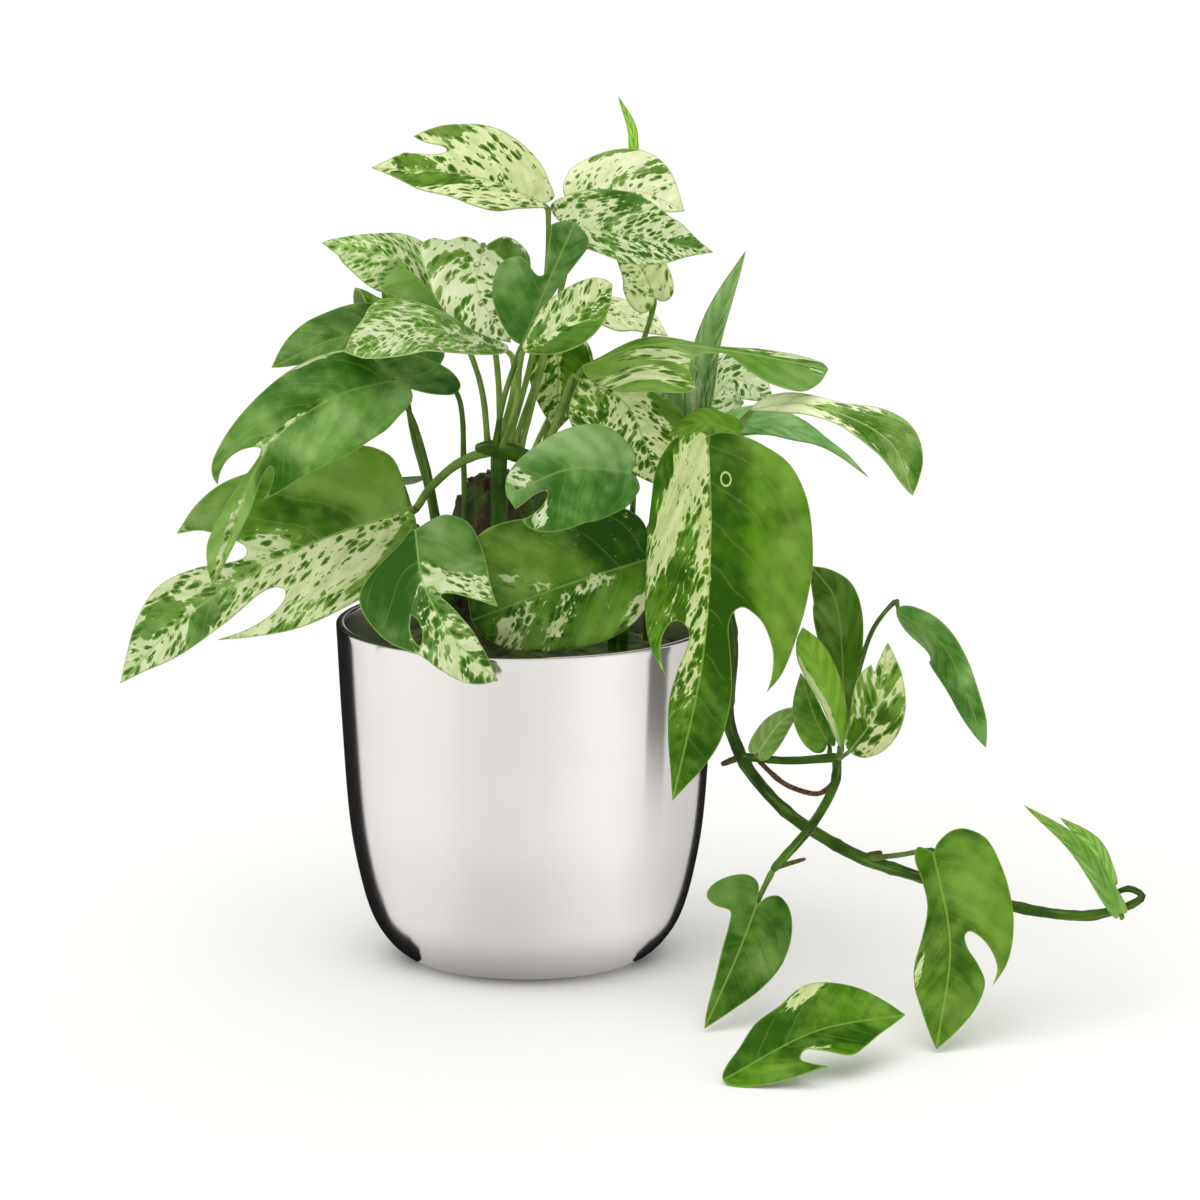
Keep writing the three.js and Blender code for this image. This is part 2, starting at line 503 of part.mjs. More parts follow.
// The stems that stand in the growing mix, and what grows from them, as lines of [points, radii].
const STEMS = {
  crown: [
    [[[-13, -10, 118], [-13, -10, 216]], [5, 5]],
    [[[-13, -10, 210], [-13, -12, 236], [-13, -16, 262]], [5, 5, 4.5]],
    [[[-24, -22, 262], [-13, -19, 262], [2, -14, 256], [12, -8, 248]], [4, 5, 4.5, 3.5]],
  ],
  left: [[[[-40, -6, 118], [-40, -6, 196]], [6, 5]]],
  right: [[[[46, -10, 118], [46, -10, 194]], [6, 5.5]]],
  vine: [
    [[[62, 16, 118], [62, 16, 172]], [3.6, 3.4]],
    [
      [
        [62, 16, 166], [64, 14, 184], [80, 8, 197], [97, 0, 186], [103, -6, 160], [101, -10, 125],
        [106, -16, 109], [114, -26, 97], [131, -42, 82], [155, -60, 70], [169, -72, 66],
        [191, -86, 62], [235, -100, 51], [270, -102, 46], [290, -100, 49], [301, -96, 54],
        [295, -92, 57], [285, -90, 53],
      ],
      [3.4, 3.4, 3.3, 3.3, 3.2, 3.1, 3.1, 3, 3, 3, 3.2, 2.8, 2.7, 2.6, 2.2, 1.8, 1.5, 1.2],
    ],
    [[[107, -18, 106], [131, -36, 108], [155, -50, 113]], [2.2, 2, 2.4]],
    [[[154, -50, 113], [152, -66, 103], [140, -86, 87], [121, -98, 68]], [2.4, 2.3, 2.3, 2.2]],
    [[[108, -18, 106], [98, -14, 101]], [1.8, 1.5]],
    [[[122, -97, 69], [137, -92, 72]], [1.6, 0.9]],
    [[[115, -24, 106], [129, -36, 96], [144, -44, 93], [152, -64, 103.5]], [1.2, 1.3, 1.3, 1.2]],
    [[[168, -71, 68], [175, -75, 71]], [2, 1.2]],
  ],
};

const group = new THREE.Group();

// A smooth table: the value between two entries follows a cubic through its neighbours.
function smoothAt(keys, values, x) {
  const last = keys.length - 1;
  let i = 0;
  while (i < last - 1 && x > keys[i + 1]) i += 1;
  const slope = (k) => {
    const a = Math.max(k - 1, 0);
    const b = Math.min(k + 1, last);
    return (values[b] - values[a]) / (keys[b] - keys[a]);
  };
  const h = keys[i + 1] - keys[i];
  const u = Math.min(Math.max((x - keys[i]) / h, 0), 1);
  const w = 1 - u;
  return (
    values[i] * w * w * (1 + 2 * u) +
    values[i + 1] * u * u * (3 - 2 * u) +
    h * u * w * (slope(i) * w - slope(i + 1) * u)
  );
}

// A midrib or stem line through its points, with its point and direction at a share of its length.
class Line {
  constructor(points) {
    this.points = points.map((p) => new THREE.Vector3(...p));
    this.keys = [0];
    for (let i = 1; i < points.length; i += 1) {
      this.keys.push(this.keys[i - 1] + this.points[i].distanceTo(this.points[i - 1]));
    }
    this.length = this.keys.at(-1);
    this.keys = this.keys.map((k) => k / this.length);
    this.columns = ["x", "y", "z"].map((axis) => this.points.map((p) => p[axis]));
  }

  at(share) {
    const s = Math.min(Math.max(share, 0), 1);
    return new THREE.Vector3(...this.columns.map((column) => smoothAt(this.keys, column, s)));
  }

  direction(share) {
    const s = Math.min(Math.max(share, 0.01), 0.99);
    return this.at(s + 0.01).sub(this.at(s - 0.01)).normalize();
  }
}

// A solid with its corners merged, ready to be joined or cut.
function solidOf(geometry) {
  const bare = new THREE.BufferGeometry();
  bare.setAttribute("position", geometry.getAttribute("position"));
  bare.setIndex(geometry.getIndex());
  const merged = mergeVertices(bare, 1e-4);
  return new wasm.Manifold(
    new wasm.Mesh({
      numProp: 3,
      vertProperties: merged.getAttribute("position").array,
      triVerts: new Uint32Array(merged.getIndex().array),
    }),
  );
}

// The geometry of a joined or cut solid, without edges too short to matter.
function geometryOf(solid) {
  const mesh = solid.asOriginal().simplify(SHORTEST_EDGE).getMesh();
  return geometryFrom(Array.from(mesh.vertProperties), Array.from(mesh.triVerts));
}

function geometryFrom(positions, triangles) {
  const geometry = new THREE.BufferGeometry();
  geometry.setAttribute("position", new THREE.Float32BufferAttribute(positions, 3));
  geometry.setIndex(triangles);
  geometry.computeVertexNormals();
  return geometry;
}

function addPiece(name, geometry, skin) {
  const mesh = new THREE.Mesh(geometry, new THREE.MeshStandardMaterial(skin));
  mesh.name = name;
  group.add(mesh);
}

// A closed tube along points, with a radius at each and rounded-off ends.
function tube(points, radii, sides) {
  const line = new Line(points);
  const rings = [];
  const count = Math.max(2, Math.ceil(line.length / TUBE_STEP));
  const side = new THREE.Vector3(0.31, 0.9, 0.11);
  for (let i = 0; i <= count; i += 1) {
    const s = i / count;
    const along = line.direction(s);
    side.sub(along.clone().multiplyScalar(side.dot(along))).normalize();
    const radius = smoothAt(line.keys, radii, s);
    rings.push({ centre: line.at(s), along, side: side.clone(), radius });
  }
  const positions = [];
  const triangles = [];
  rings.forEach((ring) => {
    const other = new THREE.Vector3().crossVectors(ring.along, ring.side);
    for (let k = 0; k < sides; k += 1) {
      const angle = (2 * Math.PI * k) / sides;
      const point = ring.centre
        .clone()
        .addScaledVector(ring.side, ring.radius * Math.cos(angle))
        .addScaledVector(other, ring.radius * Math.sin(angle));
      positions.push(...point.toArray());
    }
  });
  for (let i = 0; i < count; i += 1) {
    for (let k = 0; k < sides; k += 1) {
      const a = i * sides + k;
      const b = i * sides + ((k + 1) % sides);
      triangles.push(a, b, b + sides, a, b + sides, a + sides);
    }
  }
  const start = positions.length / 3;
  [[rings[0], -END_BULGE], [rings[count], END_BULGE]].forEach(([ring, bulge]) => {
    positions.push(...ring.centre.clone().addScaledVector(ring.along, bulge * ring.radius).toArray());
  });
  for (let k = 0; k < sides; k += 1) {
    const next = (k + 1) % sides;
    triangles.push(start, next, k);
    triangles.push(start + 1, count * sides + k, count * sides + next);
  }
  return geometryFrom(positions, triangles);
}

// An outline through its points, smooth except at sharp points, with one more between two of them where
// the curve leaves the straight line. scale: millimetres for a share of 1 along and across.
function smoothOutline(points, scale) {
  const far = (near, next) => [2 * near[0] - next[0], 2 * near[1] - next[1]];
  return points.flatMap((point, i) => {
    if (i + 1 === points.length) return [point];
    const next = points[i + 1];
    const before = point[2] || i === 0 ? far(point, next) : points[i - 1];
    const after = next[2] || i + 2 === points.length ? far(next, point) : points[i + 2];
    const between = [0, 1].map((c) => (9 * (point[c] + next[c]) - before[c] - after[c]) / 16);
    const bulge = [0, 1].map((c) => (between[c] - (point[c] + next[c]) / 2) * scale[c]);
    return Math.hypot(...bulge) > OUTLINE_TOLERANCE ? [point, between] : [point];
  });
}

// The margin of one half, from the notch at the petiole to the tip.
function marginOf(blade, side, scale) {
  const own = side === LEFT ? blade.left : blade.right;
  const heart = blade.heart ?? 1;
  const plain = HEART_OUTLINE.map(([along, out]) => [along < 0 ? along * heart : along, out]);
  return smoothOutline([[0, 0, 1], ...(own ?? plain), [1, 0, 1]], scale);
}

// A point of a blade's middle surface: side picks the half, and share and spread are the place along
// the midrib's length and across the half width.
function bladePoint(blade, line, side, share, spread) {
  const half = side === LEFT ? blade.wide[0] : blade.wide[1];
  const along = line.direction(share);
  const centre = line.at(share).addScaledVector(along, line.length * Math.min(share, 0));
  const right = new THREE.Vector3().crossVectors(along, FRONT).normalize();
  const up = new THREE.Vector3().crossVectors(right, along);
  const turned = THREE.MathUtils.degToRad(blade.turn);
  const normal = up.clone().multiplyScalar(Math.cos(turned)).addScaledVector(right, Math.sin(turned));
  const across = right.multiplyScalar(Math.cos(turned)).addScaledVector(up, -Math.sin(turned));
  const lift = THREE.MathUtils.degToRad(blade.fold);
  const wave = (blade.wave ?? 0.8) * spread ** 2 * Math.sin(11 * share + side * 1.3 + 0.1 * half);
  return centre
    .addScaledVector(across, side * half * spread * Math.cos(lift))
    .addScaledVector(normal, half * spread * Math.sin(lift) + wave);
}

// The direction that the upper face of one half looks in at a place.
function bladeNormal(blade, line, side, share, spread) {
  const place = (s, out) => bladePoint(blade, line, side, s, out);
  const along = place(share + NORMAL_STEP, spread).sub(place(share - NORMAL_STEP, spread));
  const out = place(share, spread + NORMAL_STEP).sub(place(share, spread - NORMAL_STEP));
  return out.cross(along).multiplyScalar(side).normalize();
}

// Triangles of a flat outline, with the edge between two of them turned wherever the angles that face it
// add to more than half a turn, which leaves none more slender than it has to be.
function stoutTriangles(contour, holes) {
  const faces = THREE.ShapeUtils.triangulateShape(contour, holes);
  const places = [...contour, ...holes.flat()];
  const angleAt = (corner, a, b) => {
    return places[a].clone().sub(places[corner]).angleTo(places[b].clone().sub(places[corner]));
  };
  let turned = true;
  while (turned) {
    turned = false;
    for (let i = 0; i < faces.length; i += 1) {
      for (let j = i + 1; j < faces.length; j += 1) {
        const [a, b] = faces[i].filter((k) => faces[j].includes(k));
        if (b === undefined) continue;
        const c = faces[i].find((k) => k !== a && k !== b);
        const d = faces[j].find((k) => k !== a && k !== b);
        if (angleAt(c, a, b) + angleAt(d, a, b) < Math.PI + 1e-6) continue;
        faces[i] = [a, c, d];
        faces[j] = [b, c, d];
        turned = true;
      }
    }
  }
  return faces;
}

// A blade as a thin closed solid. Both faces carry the same triangles. The flat outline that is cut into
// triangles has its midrib bowed inwards a little, so every point of the midrib becomes a corner of both
// halves and no triangle has all its corners on the midrib.
function bladeGeometry(blade) {
  const line = new Line(blade.rib);
  const corners = [];
  const normals = [];
  const found = new Map();
  const cornerAt = (side, [share, spread]) => {
    const point = bladePoint(blade, line, side, share, spread);
    const key = point.toArray().map((c) => Math.round(c * 1000)).join();
    if (!found.has(key)) {
      found.set(key, corners.length);
      corners.push(point);
      normals.push(new THREE.Vector3());
    }
    normals[found.get(key)].add(bladeNormal(blade, line, side, share, spread));
    return found.get(key);
  };
  const faces = [];
  [LEFT, RIGHT].forEach((side) => {
    const half = side === LEFT ? blade.wide[0] : blade.wide[1];
    const rib = Array.from({ length: RIB_STATIONS }, (_, i) => [i / RIB_STATIONS, 0]);
    const contour = [...rib, ...marginOf(blade, side, [line.length, half]).slice(1).reverse()];
    const holes = (blade.holes ?? []).filter(([holeSide]) => holeSide === side).map(([, hole]) => hole);
    const flat = ([s, out]) => {
      const bow = out === 0 ? RIB_BOW * s * (1 - s) : 0;
      return new THREE.Vector2(s * line.length, out * half + bow);
    };
    const triangles = stoutTriangles(contour.map(flat), holes.map((hole) => hole.map(flat)));
    const spots = [...contour, ...holes.flat()];
    const placed = spots.map(flat);
    const numbers = spots.map((spot) => cornerAt(side, spot));
    triangles.forEach(([a, b, c]) => {
      const one = placed[b].clone().sub(placed[a]);
      const turnedLeft = one.cross(placed[c].clone().sub(placed[a])) > 0;
      const ring = [a, b, c].map((k) => numbers[k]);
      faces.push(turnedLeft === (side === LEFT) ? ring : ring.reverse());
    });
  });
  return thickened(corners, normals, faces, BLADE_THICKNESS);
}

// A surface given thickness: an upper and a lower copy, closed by a wall along the margin.
function thickened(corners, normals, faces, thickness) {
  const positions = [];
  [0.5, -0.5].forEach((share) => {
    corners.forEach((point, k) => {
      const moved = point.clone().addScaledVector(normals[k].clone().normalize(), share * thickness);
      positions.push(...moved.toArray());
    });
  });
  const count = corners.length;
  const triangles = [];
  const edges = new Set();
  faces.forEach(([a, b, c]) => {
    triangles.push(a, b, c, count + a, count + c, count + b);
    [[a, b], [b, c], [c, a]].forEach((edge) => edges.add(edge.join()));
  });
  edges.forEach((edge) => {
    const [a, b] = edge.split(",").map(Number);
    if (edges.has(`${b},${a}`)) return;
    triangles.push(b, a, count + a, b, count + a, count + b);
  });
  return geometryFrom(positions, triangles);
}

// The petiole from its stem to just under the blade's heart, where it meets the underside at a slant.
function petiole(blade, radius) {
  const line = new Line(blade.rib);
  const along = line.direction(0);
  const right = new THREE.Vector3().crossVectors(along, FRONT).normalize();
  const up = new THREE.Vector3().crossVectors(right, along);
  const turned = THREE.MathUtils.degToRad(blade.turn);
  const normal = up.multiplyScalar(Math.cos(turned)).addScaledVector(right, Math.sin(turned));
  const end = radius * PETIOLE_TAPER;
  const droop = 0.3 * end * Math.max(0, -Math.sin(THREE.MathUtils.degToRad(blade.fold)));
  const under = BLADE_THICKNESS / 2 + PETIOLE_GAP + 0.7 * end + droop;
  const tip = line.at(0).addScaledVector(normal, -under);
  const neck = tip.clone().addScaledVector(normal, -3.6).addScaledVector(along, -4.8);
  const points = [blade.from, ...(blade.through ?? []), neck.toArray(), tip.toArray()];
  const radii = points.map((_, i) => radius * (1.25 + ((PETIOLE_TAPER - 1.25) * i) / (points.length - 1)));
  return tube(points, radii, PETIOLE_SIDES);
}

// The cup's wall line moved inwards by a distance, for its inside and for the mix.
function insideProfile(distance) {
  return POT_PROFILE.map(([radius, height], i) => {
    const before = POT_PROFILE[Math.max(i - 1, 0)];
    const after = POT_PROFILE[Math.min(i + 1, POT_PROFILE.length - 1)];
    const out = after[0] - before[0];
    const rise = after[1] - before[1];
    const length = Math.hypot(out, rise);
    const step = i === 0 ? [0, distance] : [(-rise / length) * distance, (out / length) * distance];
    return [radius + step[0], height + step[1]];
  });
}

function potGeometry() {
  const lip = POT_WALL * 0.25;
  const inside = insideProfile(POT_WALL);
  const profile = [
    [0, 0],
    ...POT_PROFILE,
    [POT_RADIUS - lip, POT_HEIGHT],
    [POT_RADIUS - POT_WALL + lip, POT_HEIGHT],
    [POT_RADIUS - POT_WALL, POT_HEIGHT - lip],
    ...inside.slice(0, -1).reverse(),
    [0, POT_WALL],
  ];
  const points = profile.map((p) => new THREE.Vector2(...p));
  return new THREE.LatheGeometry(points, POT_SIDES).rotateX(Math.PI / 2);
}

// Height of the mix's surface over a point of the plane.
function mixHeight(x, y) {
  const away = Math.hypot(x - MOUND_CENTRE[0], y - MOUND_CENTRE[1]) / MOUND_RADIUS;
  const uneven = 1.5 * Math.sin(0.21 * x + 1) * Math.sin(0.17 * y);
  return MIX_HEIGHT + MOUND_HEIGHT / (1 + away ** 6) + uneven;
}

function mixGeometry() {
  const wall = insideProfile(POT_WALL + MIX_GAP).filter((p) => p[1] < MIX_HEIGHT - 10);
  const [low, high] = [wall.at(-1), insideProfile(POT_WALL + MIX_GAP).at(-1)];
  const share = (MIX_HEIGHT - low[1]) / (high[1] - low[1]);
  const edge = low[0] + (high[0] - low[0]) * share - 0.3;
  const positions = [MOUND_CENTRE[0], MOUND_CENTRE[1], mixHeight(...MOUND_CENTRE)];
  for (let ring = 1; ring <= MIX_RINGS; ring += 1) {
    const inner = ring / MIX_RINGS;
    const drift = 1 - inner ** 2;
    for (let k = 0; k < MIX_SIDES; k += 1) {
      const angle = (2 * Math.PI * k) / MIX_SIDES;
      const x = edge * inner ** 1.2 * Math.cos(angle) + MOUND_CENTRE[0] * drift;
      const y = edge * inner ** 1.2 * Math.sin(angle) + MOUND_CENTRE[1] * drift;
      positions.push(x, y, mixHeight(x, y));
    }
  }
  [...wall].reverse().forEach(([radius, height]) => {
    for (let k = 0; k < MIX_SIDES; k += 1) {
      const angle = (2 * Math.PI * k) / MIX_SIDES;
      positions.push(radius * Math.cos(angle), radius * Math.sin(angle), height);
    }
  });
  const rings = MIX_RINGS + wall.length;
  const bottom = positions.length / 3;
  positions.push(0, 0, wall[0][1]);
  const triangles = [];
  for (let k = 0; k < MIX_SIDES; k += 1) {
    const next = (k + 1) % MIX_SIDES;
    triangles.push(0, 1 + k, 1 + next);
    for (let ring = 0; ring + 1 < rings; ring += 1) {
      const a = 1 + ring * MIX_SIDES;
      const b = a + MIX_SIDES;
      triangles.push(a + k, b + k, b + next, a + k, b + next, a + next);
    }
    const last = 1 + (rings - 1) * MIX_SIDES;
    triangles.push(bottom, last + next, last + k);
  }
  return geometryFrom(positions, triangles);
}

// The mix with a plain round hole for each stem that stands in it.
function mixWithHoles() {
  let mix = solidOf(mixGeometry());
  Object.values(STEMS).forEach(([[points, radii]]) => {
    const [x, y, bottom] = points[0];
    const radius = radii[0] + HOLE_GAP;
    const height = 200;
    const hole = new THREE.CylinderGeometry(radius, radius, height, 14)
      .rotateX(Math.PI / 2)
      .translate(x, y, bottom - 4 + height / 2);
    mix = mix.subtract(solidOf(hole));
  });
  return geometryOf(mix);
}

addPiece("pot", potGeometry(), STEEL);
addPiece("growing_mix", mixWithHoles(), MIX);
Object.entries(BLADES).forEach(([stem, blades]) => {
  const lines = STEMS[stem].map(([points, radii]) => tube(points, radii, STEM_SIDES));
  Object.entries(blades).forEach(([name, blade]) => {
    addPiece(name, bladeGeometry(blade), blade.skin);
    lines.push(petiole(blade, blade.thick ?? 2));
  });
  const joined = lines.map(solidOf).reduce((all, line) => all.add(line));
  addPiece(`${stem}_stems`, geometryOf(joined), STEM);
});
addPiece("fallen_leaf", bladeGeometry(FALLEN), FALLEN.skin);

export default group;
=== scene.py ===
"""Potted marble king pothos in a polished metal cup pot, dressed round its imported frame.

Lengths in the tables are millimetres in the frame's axes: +X to the right of a person looking at the
front, +Y away from them, +Z up, from the middle of the pot's foot. Meshes are made in metres.
"""
import logging
import math
from dataclasses import dataclass
from enum import Enum

import bpy
import numpy as np
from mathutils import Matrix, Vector
from mathutils.geometry import delaunay_2d_cdt


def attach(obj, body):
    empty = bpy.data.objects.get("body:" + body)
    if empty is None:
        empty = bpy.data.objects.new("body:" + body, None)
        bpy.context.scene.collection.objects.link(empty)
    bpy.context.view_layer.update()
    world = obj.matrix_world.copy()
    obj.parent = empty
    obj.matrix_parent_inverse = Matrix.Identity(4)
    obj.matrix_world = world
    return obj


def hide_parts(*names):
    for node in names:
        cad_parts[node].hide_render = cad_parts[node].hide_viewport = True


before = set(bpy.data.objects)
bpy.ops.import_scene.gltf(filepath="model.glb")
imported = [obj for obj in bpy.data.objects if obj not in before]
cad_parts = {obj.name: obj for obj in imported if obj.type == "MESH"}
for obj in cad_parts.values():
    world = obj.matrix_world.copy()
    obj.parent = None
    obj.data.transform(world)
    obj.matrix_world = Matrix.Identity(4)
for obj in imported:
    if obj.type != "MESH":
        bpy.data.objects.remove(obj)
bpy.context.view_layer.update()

log = logging.getLogger("pothos")
Array = np.ndarray
Point = tuple[float, ...]
Socket = bpy.types.NodeSocket
Material = bpy.types.Material

MM = 0.001
FRONT = np.array([0.0, -0.98, 0.2]) / math.hypot(0.98, 0.2)


class Side(Enum):
    """The two halves of a blade, seen from above with the tip ahead."""

    LEFT = -1
    RIGHT = 1


class Tone(Enum):
    """The kinds of blade, by their main colour."""

    DARK = "blade_dark"
    BRIGHT = "blade_bright"
    MARBLED = "blade_marbled"
    PALE = "blade_pale"


@dataclass(frozen=True)
class Petiole:
    """The stalk of one blade.

    Attributes:
        start: the point where it leaves its stem.
        through: points that it bends by.
        radius: its radius in the middle.
    """

    start: Point
    through: tuple[Point, ...]
    radius: float


@dataclass(frozen=True)
class Patch:
    """A patch of cream, or of plain green where the amount is negative.

    Attributes:
        share: its middle along the midrib, as a share of the midrib's length.
        spread: its middle across, as a share of the half width; negative on the left half.
        across: its half size across the side veins.
        along: its half size along the side veins.
        amount: how far it moves the balance between cream and green.
    """

    share: float
    spread: float
    across: float
    along: float
    amount: float

    @classmethod
    def of(cls, row: Point) -> "Patch":
        """The patch of a row whose places and sizes are in percent."""
        return cls(*(value / 100 for value in row[:-1]), row[-1])


@dataclass(frozen=True)
class Blade:
    """One leaf blade.

    Attributes:
        name: the name of the frame's node that it stands for.
        tone: its main colour.
        rib: the midrib from the petiole to the tip.
        turn: degrees that the upper face turns from the front towards its own right side.
        wide: half widths, left and right.
        fold: degrees that each half lifts from flat.
        wave: height of the margin's waves.
        heart: how far the lobes of a plain outline reach back.
        left: outline of the left half in percent, where it has one of its own.
        right: outline of the right half in percent, where it has one of its own.
        holes: the side and the outline in percent of each hole.
        petiole: its stalk.
        cream: the balance between green, below 0, and cream, above 0.
        patches: places where the balance differs, each a patch's values, all but the last in
            percent.
        shade: brightness of the green, 1 for its tone's own.
        grey: how far the colours turn to a bluish grey at the base and at the tip: a painted sheen.
        fresh: how far the green turns to its lighter, yellower kind.
        lights: patches of painted light on the green; where the amount is negative, of painted shade.
        bright: brightness of the cream, 1 for its tone's own.
        coarse: how large the marbling's cells are, 1 for the usual.
        sweep: how far a side vein runs towards the tip on its way out, as a share of the midrib.
        scar: share and spread of an old pale ring on the upper face, where it has one.
    """

    name: str
    tone: Tone
    rib: tuple[Point, ...]
    turn: float
    wide: Point
    fold: float
    wave: float = 0.8
    heart: float = 1.0
    left: tuple[Point, ...] | None = None
    right: tuple[Point, ...] | None = None
    holes: tuple[tuple[Side, tuple[Point, ...]], ...] = ()
    petiole: Petiole | None = None
    cream: float = -0.4
    patches: tuple[Point, ...] = ()
    shade: float = 1.0
    grey: Point = (0.0, 0.0)
    fresh: float = 0.0
    lights: tuple[Point, ...] = ()
    bright: float = 1.0
    coarse: float = 1.0
    sweep: float = 0.3
    scar: Point | None = None


@dataclass(frozen=True)
class StemLine:
    """A stretch of stem.

    Attributes:
        points: what it passes.
        radii: its radius at each point.
        brown: how brown it is, all along or from its start to its end.
    """

    points: tuple[Point, ...]
    radii: Point
    brown: float | Point = 0.0


# Half outline of a plain heart-shaped blade, in percent of the midrib's length and of the half width.
HEART_OUTLINE: tuple[Point, ...] = (
    (-7, 12), (-11.5, 42), (-6, 76), (10, 97), (33, 100), (55, 85), (74, 57), (89, 26), (96, 10),
)

